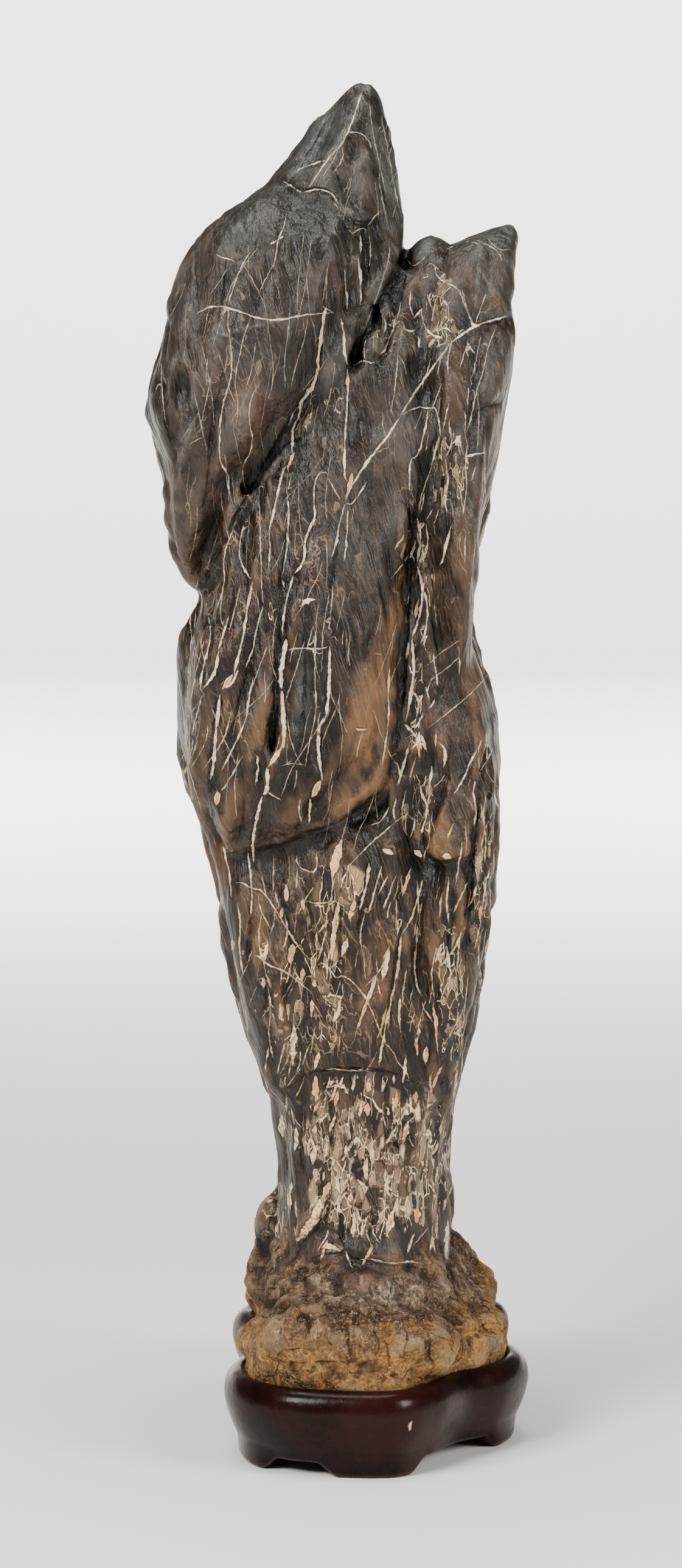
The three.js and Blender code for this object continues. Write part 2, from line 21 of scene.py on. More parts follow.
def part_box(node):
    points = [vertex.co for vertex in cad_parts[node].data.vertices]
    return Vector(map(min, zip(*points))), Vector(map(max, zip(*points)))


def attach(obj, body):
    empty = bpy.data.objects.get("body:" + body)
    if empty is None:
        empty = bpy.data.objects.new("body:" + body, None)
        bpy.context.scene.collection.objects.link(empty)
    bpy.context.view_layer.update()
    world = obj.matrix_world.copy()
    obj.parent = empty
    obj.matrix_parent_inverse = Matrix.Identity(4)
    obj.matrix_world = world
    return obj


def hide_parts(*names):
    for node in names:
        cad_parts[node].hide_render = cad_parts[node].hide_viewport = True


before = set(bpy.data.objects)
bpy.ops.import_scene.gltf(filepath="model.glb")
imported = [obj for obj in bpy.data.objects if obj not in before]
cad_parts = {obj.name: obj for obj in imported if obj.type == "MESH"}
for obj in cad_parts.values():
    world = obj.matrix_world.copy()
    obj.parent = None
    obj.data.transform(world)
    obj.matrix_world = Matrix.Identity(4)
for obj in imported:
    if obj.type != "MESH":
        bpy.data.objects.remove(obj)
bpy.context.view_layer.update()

LOG = logging.getLogger("suiseki")
MM = 0.001

# How far the rock's flow turns round the stone, in radians for each millimetre up.
TWIST = 0.0042

# Lines are marked on the points up to LINE_REACH from them, in millimetres, and end between the two
# numbers of LINE_END. A point that no line is near is FAR from one.
LINE_REACH, LINE_END, FAR = 3.2, (1.9, 2.9), 9.0

Point = tuple[float, float]
Triple = tuple[float, float, float]
Colour = Triple
Stop = tuple[float, Colour]
Array = np.ndarray


def trace(text: str) -> list[Point]:
    """Reads places that are written as "across,down" and parted by spaces."""
    return [tuple(float(n) for n in word.split(",")) for word in text.split()]


def rows(table: str) -> list[list[str]]:
    """Splits a table into rows of words. A line that starts with # is a note."""
    return [line.split() for line in table.splitlines() if line and not line.startswith("#")]


def smoothstep(low: float, high: float, value: Array) -> Array:
    """Shapes numbers so that they rise smoothly from 0 at the low one to 1 at the high one."""
    share = np.clip((value - low) / (high - low), 0, 1)
    return share * share * (3 - 2 * share)


def make_mesh(shape: bmesh.types.BMesh, name: str) -> bpy.types.Mesh:
    """Makes a smoothly shaded mesh.

    Args:
        shape: what it is made from, and is then freed.
        name: its name.

    Returns:
        The mesh.
    """
    mesh = bpy.data.meshes.new(name)
    shape.to_mesh(mesh)
    shape.free()
    mesh.shade_smooth()
    return mesh


def show(data: bpy.types.ID) -> bpy.types.Object:
    """Puts a mesh, camera or light in the scene.

    Args:
        data: what is put there.

    Returns:
        Its object, of the same name.
    """
    thing = bpy.data.objects.new(data.name, data)
    bpy.context.collection.objects.link(thing)
    return thing


def read_layer(items: bpy.types.bpy_prop_collection, name: str, values: Array) -> Array:
    """Fills an array, one row an item, with numbers of a mesh's points or edges."""
    items.foreach_get(name, values.ravel())
    return values


def write_layer(mesh: bpy.types.Mesh, name: str, values: Array) -> None:
    """Writes numbers for each of a mesh's points.

    Args:
        mesh: the mesh that takes them.
        name: the attribute's name.
        values: one row a point, of three numbers for a vector or four for a colour.
    """
    kind, slot = ("FLOAT_VECTOR", "vector") if values.shape[1] == 3 else ("FLOAT_COLOR", "color")
    layer = mesh.attributes.new(name, kind, "POINT")
    layer.data.foreach_set(slot, np.ascontiguousarray(values).ravel())


# ---- the photograph's view


@dataclass(frozen=True)
class Viewpoint:
    """Where the stone is looked at from, in metres, and how a place maps to the picture's plane.
    The grain is how many of the picture's units show a millimetre of the stone."""

    centre: Vector
    distance: float = 1.563
    left: float = 0.0124
    height: float = 0.365
    pitch_degrees: float = 5.2
    focal: float = 7500.0
    middle: Point = (560.5, 1288.0)
    frame_height: float = 2576.0
    grain: float = 4.9
    sensor: float = 36.0
    clip: Point = (0.05, 60.0)

    @property
    def place(self) -> Vector:
        """The camera's place."""
        return Vector((self.centre.x - self.left, self.centre.y - self.distance, self.height))

    def picture(self, points: Array) -> Array:
        """Projects places to the picture.

        Args:
            points: places in metres, one a row.

        Returns:
            How far across and down each is, in the picture's own units.
        """
        away = points - np.array(self.place)
        pitch = math.radians(self.pitch_degrees)
        depth = away[:, 1] * math.cos(pitch) - away[:, 2] * math.sin(pitch)
        rise = away[:, 1] * math.sin(pitch) + away[:, 2] * math.cos(pitch)
        across = self.middle[0] + self.focal * away[:, 0] / depth
        down = self.middle[1] - self.focal * rise / depth
        return np.stack([across, down], 1)

    def make_camera(self) -> None:
        """Puts the scene's camera there."""
        data = bpy.data.cameras.new("camera")
        data.sensor_width = self.sensor
        data.lens = self.focal / self.frame_height * self.sensor
        data.clip_start, data.clip_end = self.clip
        camera = show(data)
        camera.location = self.place
        camera.rotation_euler = (math.radians(90 - self.pitch_degrees), 0, 0)
        bpy.context.scene.camera = camera


# ---- folds, spots and veins


class FoldKind(Enum):
    """How a fold shapes the rock beside its line."""

    CREASE = "a groove"
    RIDGE = "a raised edge"
    STEP = "a lip: the rock on the hollow side of the line lies lower"


@dataclass(frozen=True)
class Fold:
    """A fold along a line: its kind, width, depth, and how far a step's hollow side reaches, in
    millimetres. That side is on the right of a line that runs down."""

    kind: FoldKind
    width: float
    depth: float
    reach: float
    path: str = ""

    @classmethod
    def read(cls, table: str) -> list["Fold"]:
        """Reads folds, each written as its kind, width, depth, reach and line."""
        return [
            cls(FoldKind[kind], float(width), float(depth), float(reach), " ".join(places))
            for kind, width, depth, reach, *places in rows(table)
        ]


@dataclass(frozen=True)
class Spot:
    """A soft oval: its middle, half sizes, turn in degrees, and strength or height."""

    across: float
    down: float
    half_width: float
    half_height: float
    turn: float
    strength: float

    @classmethod
    def read(cls, table: str) -> list["Spot"]:
        """Reads spots, each written as its six numbers."""
        return [cls(*map(float, row)) for row in rows(table)]

    @classmethod
    def draw(cls, dice: random.Random, count: int, spans: tuple[Point, ...]) -> list["Spot"]:
        """Draws spots at random, from the least and the most of each of their numbers."""
        return [cls(*(dice.uniform(*span) for span in spans)) for _ in range(count)]


@dataclass(frozen=True)
class Vein:
    """A line of calcite: half its width in millimetres, how orange its core is, and its line."""

    half_width: float
    warmth: float
    path: str
    swelling: bool = False

    @classmethod
    def read(cls, table: str, swelling: bool) -> list["Vein"]:
        """Reads veins, each written as its half width, warmth and line."""
        return [cls(*map(float, row[:2]), " ".join(row[2:]), swelling) for row in rows(table)]


# A line to draw: the number of the sheet that it lies on, its places on the sheet, and its vein.
Line = tuple[int, Array, Vein]


@dataclass(frozen=True)
class Flecks:
    """Short lenses and threads in a patch of the front: how many, the patch's edges, their least
    and most length in millimetres, and half their width."""

    count: float
    left: float
    right: float
    top: float
    low: float
    short: float
    long: float
    half_width: float

    @classmethod
    def read(cls, table: str) -> list["Flecks"]:
        """Reads patches, each written as its eight numbers."""
        return [cls(*map(float, row)) for row in rows(table)]

    def scatter(self, dice: random.Random, grain: float) -> list[Line]:
        """Draws the flecks at random places.

        Args:
            dice: the source of random numbers.
            grain: how many of the picture's units are a millimetre.

        Returns:
            The flecks, on the front's sheet.
        """
        flecks = []
        for _ in range(int(self.count)):
            across = dice.uniform(self.left, self.right) / grain
            down = dice.uniform(self.top, self.low) / grain
            length, lean = dice.uniform(self.short, self.long), dice.gauss(-0.14, 0.16)
            path = [(across, down)]
            for _ in range(4):
                lean += dice.gauss(0, 0.16)
                across, down = across + lean * length / 4, down + length / 4
                path.append((across, down))
            swells = dice.random() < (0.55 if self.half_width > 0.25 else 0.05)
            half = self.half_width * dice.uniform(0.5, 1.5) * (1.4 if swells else 0.8)
            warmth = dice.choice([0, 0.1, 0.3, 0.5, 0.8, 1.0]) if swells else 0.0
            flecks.append((0, rounded(np.array(path), 1), Vein(half, warmth, "", swells)))
        return flecks


@dataclass(frozen=True)
class Walks:
    """Random lines down the sides and the back: how many, their least and most length in
    millimetres, how far across they move for each millimetre down, how much they wander from
    that, and the highest and the lowest place that they reach."""

    count: int
    length: Point
    lean: float
    wander: float
    top: float
    low: float

    def draw(self, dice: random.Random, half_round: float) -> list[Array]:
        """Draws the lines.

        Args:
            dice: the source of random numbers.
            half_round: how far to either side of the back a line may start.

        Returns:
            The lines, each with its places one a row.
        """
        lines = []
        for _ in range(self.count):
            across, height = dice.uniform(-1, 1) * half_round, dice.uniform(self.low, self.top)
            drift = self.lean + dice.gauss(0, 0.16)
            reach = dice.uniform(*self.length)
            steps = max(3, int(reach / 9))
            line = [(across, height)]
            for _ in range(steps):
                drift += dice.gauss(0, self.wander)
                drift += (self.lean - drift) * 0.3
                across += drift * reach / steps
                height -= reach / steps
                if height < self.low:
                    break
                line.append((across, height))
            if len(line) > 2:
                lines.append(np.array(line))
        return lines


CREASE, RIDGE, STEP = FoldKind.CREASE, FoldKind.RIDGE, FoldKind.STEP

FRONT_FOLDS = Fold.read("""
# the peak
RIDGE 2.2 1 9 597,140 592,165 583,190 560,240 538,262 500,318
RIDGE 2.4 1.1 9 604,150 612,230 626,320 636,360 652,395
RIDGE 1.8 .8 9 628,190 664,388
CREASE 2.4 1.2 9 606,215 632,330 645,372
RIDGE 1.6 .6 9 571,218 590,216 607,230 612,262
STEP 2 3 8 625,350 605,370 570,362 545,315 510,312 497,317 465,297 440,310
CREASE 1.8 .8 9 555,176 530,212 490,285
CREASE 1.6 .7 9 540,262 556,290 566,318
# the upper left mass and its fin
CREASE 3 3.4 9 664,405 661,441 621,500 581,604
RIDGE 2.4 1.6 9 619,368 640,396 642,431 612,505 584,588
CREASE 2 1.1 9 603,372 606,400 604,440 582,560
CREASE 1.8 1 9 578,388 566,515
RIDGE 1.5 .7 9 592,378 592,417 586,450 592,503
STEP 2.8 3.2 12 520,630 500,655 462,716 425,782
STEP 2.6 2.8 10 432,770 360,900 342,940 333,985
CREASE 2.2 1.6 9 262,612 272,690 284,735 292,780
RIDGE 2.4 1 9 300,600 314,640 318,690 300,740 292,790 300,850
RIDGE 2.8 .8 9 292,586 330,560 440,530 505,516 549,512
CREASE 2.6 .8 9 330,340 318,400 322,470 330,530
RIDGE 2.2 .6 9 556,392 530,430 512,520
CREASE 2.2 .9 9 470,380 428,490 412,540 404,600
CREASE 1.8 .7 9 372,420 366,480 356,540
STEP 1.6 1.3 5 560,521 566,551 566,582 574,607 566,747
CREASE 1.8 1.2 9 535,508 529,540 520,630 508,650
CREASE 1.6 .8 9 600,660 590,700 566,770
CREASE 2 1.1 9 370,560 366,620 352,680 344,740 342,800 330,850
RIDGE 2.4 .8 9 420,610 400,660 390,720 388,770
# between the two peaks, and the right slab
CREASE 2.6 3 9 672,405 660,480 640,560 628,590 612,610
CREASE 2 1.6 9 738,408 728,440 712,452
CREASE 1.8 1.4 9 676,440 690,438 704,428 716,430
RIDGE 2 .9 9 790,388 790,420 781,530
RIDGE 1.8 .7 9 731,463 756,475 766,508 779,534
STEP 1.8 2.2 6 842,519 785,536
RIDGE 1.8 .9 9 774,538 740,564 685,640 636,720 609,750 575,800
CREASE 2.2 1.3 9 790,560 774,670 770,720 772,780
CREASE 2 1.4 9 834,660 796,668 782,680 776,712
CREASE 1.9 1 9 728,600 722,700 706,745 702,800
STEP 2.2 2 9 672,740 690,770 690,810 682,850 672,960
CREASE 2.2 1.4 9 744,690 736,860 728,921
CREASE 1.8 1 9 804,790 790,930 784,1070
# the middle tongue, its lip, and the groove beside it
CREASE 2.6 2.6 9 684,830 677,880 672,950 661,1166 640,1280
STEP 2.4 4.8 13 648,1225 641,1262 629,1301 546,1358
STEP 2.2 3.2 10 560,1350 480,1380 451,1394 380,1400 366,1404
RIDGE 2.6 1.4 9 640,1110 641,1195 636,1240 622,1280 535,1345
CREASE 2.2 1.5 9 456,1052 452,1110 454,1160 450,1206 440,1250
RIDGE 1.7 .8 9 470,1048 463,1090 466,1166 465,1230 440,1262 439,1301 426,1340 415,1400
CREASE 2 1.3 9 504,960 500,1040 503,1110 490,1300
CREASE 1.8 1 9 544,1064 540,1130 521,1240 524,1290 512,1330
RIDGE 1.6 .6 9 548,1060 538,1170 528,1220
CREASE 2 1.4 9 419,1230 425,1255 428,1290
CREASE 2.2 1.5 9 446,870 436,930 430,990 406,1110 372,1230 352,1290
CREASE 1.8 1.1 9 408,850 398,910 408,960 402,1030 388,1100
CREASE 2 1.2 9 368,900 362,960 330,1130
RIDGE 2 .8 9 386,860 372,1010 346,1140
CREASE 2 1.1 9 330,960 316,1020 304,1090 302,1160 306,1230
CREASE 1.8 1.1 9 560,830 556,890 530,1050
CREASE 1.8 1 9 520,790 516,850 484,950 470,1010
CREASE 1.8 .9 9 480,790 470,900 456,1010
RIDGE 1.6 .6 9 600,840 588,1010
CREASE 2.4 1.6 9 360,1120 346,1240 344,1290 350,1340 366,1398
CREASE 2.2 1.4 9 400,1300 402,1340 396,1376 384,1402
CREASE 2 1.1 9 620,1010 596,1100
# right of the groove
CREASE 2.4 2.2 9 700,905 690,960 690,1020 682,1140 664,1250 660,1290
RIDGE 2.2 1.1 9 714,910 706,970 706,1100 700,1160
CREASE 2 1.6 9 740,1210 736,1260 722,1300 704,1392
RIDGE 1.8 1.1 9 716,1216 728,1222 734,1240 730,1262
RIDGE 2.6 1.2 9 712,1240 708,1290 700,1340
STEP 2 3 7 766,1398 755,1412 740,1416 720,1418 704,1408 696,1380 694,1340
RIDGE 2.2 1.5 9 800,1180 781,1275 764,1390 756,1566
CREASE 2 2.6 9 806,1190 798,1250 788,1300 773,1420 764,1600
CREASE 1.8 1.8 9 812,1240 784,1560
CREASE 1.6 1.4 9 790,1360 782,1490 770,1610
CREASE 1.8 1.3 9 748,1420 736,1600
STEP 1.8 2 7 790,1690 776,1698 760,1696 750,1688
CREASE 1.6 1 9 757,1750 758,1800 748,1950
# the lower body
RIDGE 1.8 .8 9 536,1376 548,1388 556,1410 560,1436 548,1446
CREASE 1.9 1.3 9 505,1400 500,1450 524,1560 520,1600
CREASE 1.8 1.2 9 470,1420 462,1460 468,1510 484,1560 478,1610 468,1660
CREASE 2 1.4 9 410,1420 414,1470 412,1520 406,1570 414,1620
CREASE 2 1.2 9 432,1560 440,1610 436,1660 446,1700 452,1750
CREASE 1.8 1.1 9 550,1450 552,1500 560,1545 556,1590 544,1640
CREASE 1.9 1.2 9 606,1430 600,1480 588,1530 590,1580 596,1630
RIDGE 2.4 .9 9 626,1500 618,1560 590,1680
CREASE 1.8 1.2 9 664,1440 656,1560 624,1740
CREASE 1.8 1.2 9 700,1440 692,1490 686,1590 692,1640
CREASE 1.8 1 9 724,1530 722,1590 716,1650 700,1760
CREASE 1.8 1 9 510,1640 506,1690 512,1740
CREASE 1.6 .9 9 566,1640 556,1750
RIDGE 1.8 .7 9 483,1675 482,1760
STEP 1.6 1.4 6 700,1784 674,1776 653,1764 610,1758 533,1757 505,1766 470,1790
RIDGE 1.5 .9 9 520,1766 515,1790 520,1814
CREASE 1.5 1.2 9 534,1766 548,1850 544,1900
CREASE 1.5 1.1 9 498,1780 500,1830 494,1880 498,1930
CREASE 1.5 1 9 576,1764 572,1820 580,1870 574,1920
CREASE 1.5 1.1 9 636,1776 632,1830 640,1880
CREASE 1.5 1 9 668,1790 660,1840 668,1890 660,1930
CREASE 1.6 1.1 9 720,1790 722,1840 716,1890 722,1950 716,2010
CREASE 1.6 1 9 470,1800 474,1850 470,1910 478,1960
CREASE 1.8 1.5 9 546,1950 540,1990 524,2020 484,2052
RIDGE 1.8 1.2 9 538,1954 530,1985 514,2010 492,2034
CREASE 1.5 1.2 9 560,1990 558,2020 566,2050
CREASE 1.5 1.1 9 606,1990 610,2020 606,2050
RIDGE 1.4 .8 9 643,1986 634,2030
# where the dark rock ends above the foot
STEP 1.8 1.6 5 735,2092 725,2095 673,2078 643,2080 609,2070 588,2073 560,2058 520,2062 480,2086
CREASE 2.2 1.8 9 462,1940 450,1980 440,2056 452,2090 470,2100
STEP 1.8 1.6 6 468,2088 440,2082 412,2084
STEP 1.8 1.8 7 478,2118 450,2116 428,2120 408,2118
CREASE 1.8 1.3 9 505,2075 500,2100 508,2130 500,2150
CREASE 1.8 1 9 560,2080 552,2110 560,2140
CREASE 1.8 1 9 650,2090 640,2120 652,2150
CREASE 1.8 1.2 9 742,2000 744,2040 738,2080 746,2110
# the crust
CREASE 1.1 2.4 9 503,2160 506,2180 503,2200
CREASE 1.2 1.8 9 700,2180 708,2205 704,2230 716,2240
CREASE 1.2 1.8 9 748,2176 760,2168 770,2184 778,2176
STEP 1.6 1.4 7 830,2176 800,2172 780,2186 752,2190
STEP 1.6 1.6 6 812,2104 790,2098 768,2102 752,2098
STEP 1.6 1.4 5 800,2070 780,2066 762,2072
STEP 1.4 1.4 7 640,2232 590,2238 540,2236 495,2240 450,2236 420,2228
CREASE 1.4 1.2 9 560,2170 576,2190 570,2214 584,2230
CREASE 1.4 1.2 9 620,2160 612,2186 626,2206 616,2230
CREASE 1.4 1.2 9 660,2170 672,2196 662,2222 668,2244
CREASE 1.4 1.1 9 520,2190 540,2204 548,2226
""")

# Bulges and hollows of the front, with their height in millimetres.
FRONT_FORMS = Spot.read("""
528 236 20 52 28 -1.6
586 248 22 28 0 -1.2
574 312 26 36 0 -1.4
622 300 10 60 -12 -.8
430 330 60 30 -30 .3
505 360 50 40 10 -1.4
326 470 34 60 14 -1.6
410 440 34 60 14 -.8
300 635 17 36 4 -2.2
350 610 22 60 4 1
440 600 40 60 14 -1
392 710 34 60 26 1.8
470 640 28 44 30 1.2
320 820 26 60 8 1.2
252 650 12 30 0 .6
547 570 13 60 4 -1.3
550 655 12 26 0 -2
470 760 26 40 24 -1.6
590 640 20 60 14 .8
636 735 40 56 30 1.4
662 862 20 44 14 1.6
640 545 16 30 20 -1.4
708 520 30 34 0 -1.2
800 462 15 36 4 -1
745 640 20 60 8 1
800 620 16 60 6 1.2
724 760 18 60 8 -1.4
760 880 22 80 4 1.2
700 640 18 44 20 -1
740 500 18 20 0 .8
610 545 15 46 16 3.6
474 748 20 24 34 2.6
508 690 14 30 30 2
672 1030 12 90 2 2.4
456 1140 9 70 2 2
582 1190 36 90 8 1.6
500 1170 18 84 4 1
428 1170 20 76 16 1.2
384 1330 22 56 8 1.8
470 1330 30 50 10 1.2
330 1230 20 90 6 1
605 1330 44 20 -28 -2.2
540 1382 40 16 -14 -1.6
600 940 28 60 10 .8
725 1150 26 90 2 1.2
722 1370 26 44 0 1.8
684 1330 18 50 4 -1.2
786 1140 16 60 0 .9
440 1500 26 60 0 .8
548 1410 12 32 0 1.4
640 1600 22 70 14 .9
576 1560 18 60 10 .8
700 1610 22 70 10 .8
470 1700 20 60 0 .8
620 1690 30 40 0 -.8
512 2005 18 44 34 1.6
646 2046 30 30 0 .8
585 2030 22 34 0 1
448 2142 28 14 0 -3
433 2045 10 28 0 -2.2
440 2205 36 22 0 1.6
700 2130 40 22 0 1.2
590 2110 50 26 0 .8
648 1886 12 15 0 -2
671 1876 6 9 0 -1.4
680 1915 7 9 0 -1.4
547 938 20 22 0 -1
601 1023 6 7 0 -1.3
484 2225 5 3 0 -1.8
511 2225 5 3 0 -1.8
593 2254 5 6 0 -1.6
748 2182 6 4 0 -1.8
772 2184 6 4 0 -1.8
425 2174 9 9 0 1.8
459 2147 7 5 0 -1.8
761 2170 8 5 0 -1.6
709 2213 5 9 0 -1.8
790 2120 26 10 -4 1.6
776 2085 20 9 -4 1.4
660 2215 24 16 0 1.2
570 2215 22 14 0 1
800 2204 26 14 10 1.4
740 2226 30 12 0 1
""")

FRONT_VEINS = Vein.read("""
# the peak
.34 0 597,146 575,212 560,240 538,262 505,312
.3 0 571,218 590,216 607,230 610,244
.22 0 607,165 612,215 634,318
.22 0 628,196 655,340
.36 .1 465,297 497,318
.36 0 497,317 520,310 545,316 556,334
.26 0 538,262 494,276 485,284
.22 0 560,240 566,252 560,268 548,284
.2 0 626,250 622,300 640,380
.24 .1 604,372 612,360 627,346
.2 0 594,150 588,166 590,186
# the upper left mass
.42 .2 321,517 346,502 374,504 440,530 507,516 549,514
.26 0 472,350 466,376 456,394 454,420 448,444
.24 0 453,427 426,480
.42 .2 455,395 442,402
.3 0 455,395 466,388
.34 .1 355,418 366,424 380,426 388,432
.3 0 412,413 398,434 384,469 374,504
.36 .1 374,504 376,520 374,532 378,548
.2 0 374,504 362,530 348,572
.34 .1 376,539 384,610 363,673 360,739 363,764 377,781 374,802 384,831
.22 0 414,518 402,546 388,610 386,638 392,660 388,700
.22 0 430,624 411,655 409,694 416,718 412,746 400,760 398,778 405,813 416,827
.18 0 398,434 410,450 436,500 440,530
.16 0 330,560 342,610 350,660 352,700
.16 0 440,530 452,620 440,660
.16 0 476,523 466,600 470,640
.18 0 507,516 500,560 486,600 478,640
.2 0 265,596 266,640 272,694
.26 0 310,730 324,724 334,716
.18 0 334,716 326,676
.2 0 318,640 340,740
.16 0 256,640 262,628 268,636
.22 0 474,700 484,672 498,664
.16 0 350,606 330,700
.16 0 420,560 416,600 404,640
.16 0 500,380 488,480 490,520
.16 0 540,430 530,500
.2 0 566,440 570,500
.44 .5 568,475 571,492 570,508
.24 .2 548,514 530,502
.22 .2 578,386 586,378 598,374 604,380
.16 .2 640,396 641,428 598,546
.2 0 606,380 610,410 606,440
# the two strong ones down the middle
.66 .3 535,504 522,592 523,610
.6 .2 518,631 507,648 493,659 493,680
.5 .3 493,672 490,690 481,700 480,745
.4 .2 474,765 465,769 446,862
.6 .2 560,521 566,551 566,582 572,600
.44 .2 572,640 564,781 572,794
.3 .1 568,824 578,832 604,790
.34 .4 580,602 592,594 600,592 612,598 618,594
.3 .2 600,592 598,570 602,554
# the long slanting one and its branches
.46 .2 835,519 780,534 740,564
.5 .3 740,564 685,640 658,683
.5 .4 658,683 636,720 609,750 577,800
.26 0 780,536 766,508 756,475 731,463
.3 .1 731,463 716,453 716,435
.24 0 780,536 799,481
.22 0 791,551 773,637
.24 .1 817,533 802,570 796,607 783,640 771,705 762,714
.2 0 783,640 788,668 785,741
.5 .2 765,750 799,743
.36 .2 658,683 685,668 704,671 719,669 724,720
.34 .3 704,671 701,698 687,753 673,752 673,809
.22 0 655,576 649,643 642,674 645,683
.22 0 654,582 664,596 668,616
.22 0 520,784 535,770 541,790 560,822
.2 0 636,720 628,700 630,676
.2 0 760,476 767,508 778,532
.26 0 724,446 708,430 700,440
.24 0 736,410 752,398 772,396 790,402
.22 0 780,392 818,410 826,430
.2 0 800,390 812,404 826,412 838,410
.24 0 668,424 676,438 690,432 700,420
.24 .1 660,492 654,520 644,548 630,576
.26 .1 676,474 672,500 680,520
# among the crystals of the upper right
.3 .3 732,750 738,790 730,820 736,850
.24 .2 700,860 704,890 698,920
.24 .1 770,720 764,760 768,800 760,850
.22 0 736,700 740,730 730,760
.2 0 745,590 742,630 746,660
# the middle
.34 .1 463,771 456,817 444,861 442,882 445,902 440,940
.3 .1 479,781 471,817 475,829 473,882 471,909 463,952
.26 .1 532,771 518,785 515,820 518,847
.42 .1 516,850 501,886 501,923 483,944
.3 .1 483,944 468,992 464,1045
.34 .1 568,827 557,863 554,889 545,916
.3 .1 572,836 569,907 564,925
.22 .1 548,959 540,1046
.2 0 524,992 519,1024 517,1127 521,1166
.2 .2 564,1035 562,1061
.24 .1 472,1068 497,1064 521,1068 541,1062
.52 .2 542,1061 541,1141 535,1181
.5 .2 535,1181 524,1192 522,1228 530,1282
.4 .3 510,1311 508,1355
.26 .1 386,864 366,912 370,959 354,1006
.3 .1 406,850 395,883 393,923 415,955
.44 .2 415,955 406,999 403,1032 384,1112
.5 .2 361,1139 360,1166 354,1199 352,1250 346,1282
.4 .1 370,1130 382,1124 392,1100
.2 0 426,817 430,967 433,994
.26 0 433,994 421,1035 417,1065 403,1100
.3 .2 417,1112 406,1159 406,1177 395,1206 363,1268
.74 .3 470,1048 468,1070 460,1106 463,1133
.7 .5 463,1133 468,1210 464,1231
.6 .2 439,1261 439,1301 432,1306
.5 .2 432,1306 424,1333 415,1380 417,1417
.36 .1 422,1240 425,1262 420,1290
.18 0 519,1127 521,1166 507,1226 502,1260
.3 .1 343,1013 348,1046 326,1126 335,1141
.3 0 377,1010 359,1068
.24 0 332,1141 315,1206
.24 0 400,1240 372,1290 362,1300
.26 .1 440,1300 452,1310 462,1314
.22 0 494,1310 490,1330 496,1352
.16 0 336,1050 320,1110 312,1160
.16 0 440,1060 410,1140
.2 0 396,960 376,1040
.16 0 500,1256 476,1254 462,1258
.16 0 482,1300 488,1280 488,1262
.2 .3 600,1190 590,1220 586,1250
.3 .6 640,1095 638,1140 640,1180 628,1260
# the groove beside it, and right of it
.44 .2 685,850 693,882 685,925
.4 .2 685,925 697,969 689,1016 677,1048
.5 .1 677,1048 681,1095 677,1135 667,1186
.36 .1 665,1190 680,1204 689,1218 676,1232
.44 .1 672,1226 653,1293
.3 .1 697,969 704,1000 700,1040 690,1060
.3 .1 677,1135 690,1150 684,1180
.24 0 740,874 728,921 722,930
.18 0 803,1107 772,1143 704,1196
.18 0 799,1186 760,1222 673,1332
.18 0 673,1332 610,1384 565,1431
.16 0 756,1052 720,1075 704,1092
.16 0 756,1079 730,1102 705,1119
.2 .1 754,1060 756,1090 754,1110
.24 0 732,1272 724,1284 712,1294
.3 .1 648,1232 660,1284
.4 .3 700,1314 704,1330 692,1370
.24 .1 668,1296 660,1330 664,1350
.26 .2 640,1324 628,1350 608,1356
.3 .2 652,1310 646,1330 650,1352
# the lower body
.28 .2 386,1450 396,1449 415,1460 429,1462 442,1476 493,1562 520,1586
.28 .2 520,1586 530,1580 544,1594 552,1609 561,1601 580,1612 606,1645 631,1713
.26 .1 631,1713 646,1725 653,1745 669,1762 674,1778
.28 .1 415,1570 423,1569 439,1585 466,1594 498,1618 514,1634
.26 .1 407,1396 415,1460 412,1509
.32 .2 366,1388 378,1436 380,1476
.26 .1 487,1404 489,1423 504,1431 522,1434 520,1396
.22 .1 613,1489 646,1519 676,1521
.24 .1 676,1521 703,1516 729,1516
.44 .2 607,1417 605,1445 591,1497
.3 .1 696,1443 678,1509 659,1536
.44 .1 659,1536 656,1579 650,1612
.4 .1 650,1612 631,1698 623,1752
.4 .1 686,1516 686,1546 681,1579 683,1612 693,1639
.2 0 557,1709 583,1713 603,1679 640,1630 650,1645 659,1675 683,1639
.5 .4 621,1596 586,1695
.24 .1 501,1479 520,1486 557,1479
.3 .1 522,1535 542,1508
.3 .1 520,1530 522,1567 514,1600
.2 0 472,1785 496,1753
.26 .1 533,1758 549,1756 581,1759 610,1758
.2 0 703,2090 712,2009
.2 0 678,2048 705,2016
.3 .1 588,2071 609,2067 643,2078 673,2071 700,2078
.3 .1 550,1440 544,1470 548,1500
.3 .2 628,1420 606,1500
.26 .1 468,1500 474,1530 466,1560
.24 .1 440,1620 446,1660 440,1700 450,1740
.24 0 700,1640 680,1720
.24 .1 716,1560 708,1600 714,1640
.22 0 560,1610 548,1650 540,1700
.2 0 600,1500 590,1540 600,1580
.26 .2 738,1440 734,1480 738,1520
.24 .1 390,1480 396,1520 392,1560 400,1600
.24 .1 430,1500 424,1540 430,1580
.3 .2 752,1740 744,1820
.22 0 770,1600 760,1690
.26 .1 790,1320 800,1370 796,1420
.3 0 784,1276 776,1300 784,1330 778,1360
.18 0 800,1440 786,1540
.2 0 544,1860 560,1880 580,1890 600,1880
""", swelling=False)

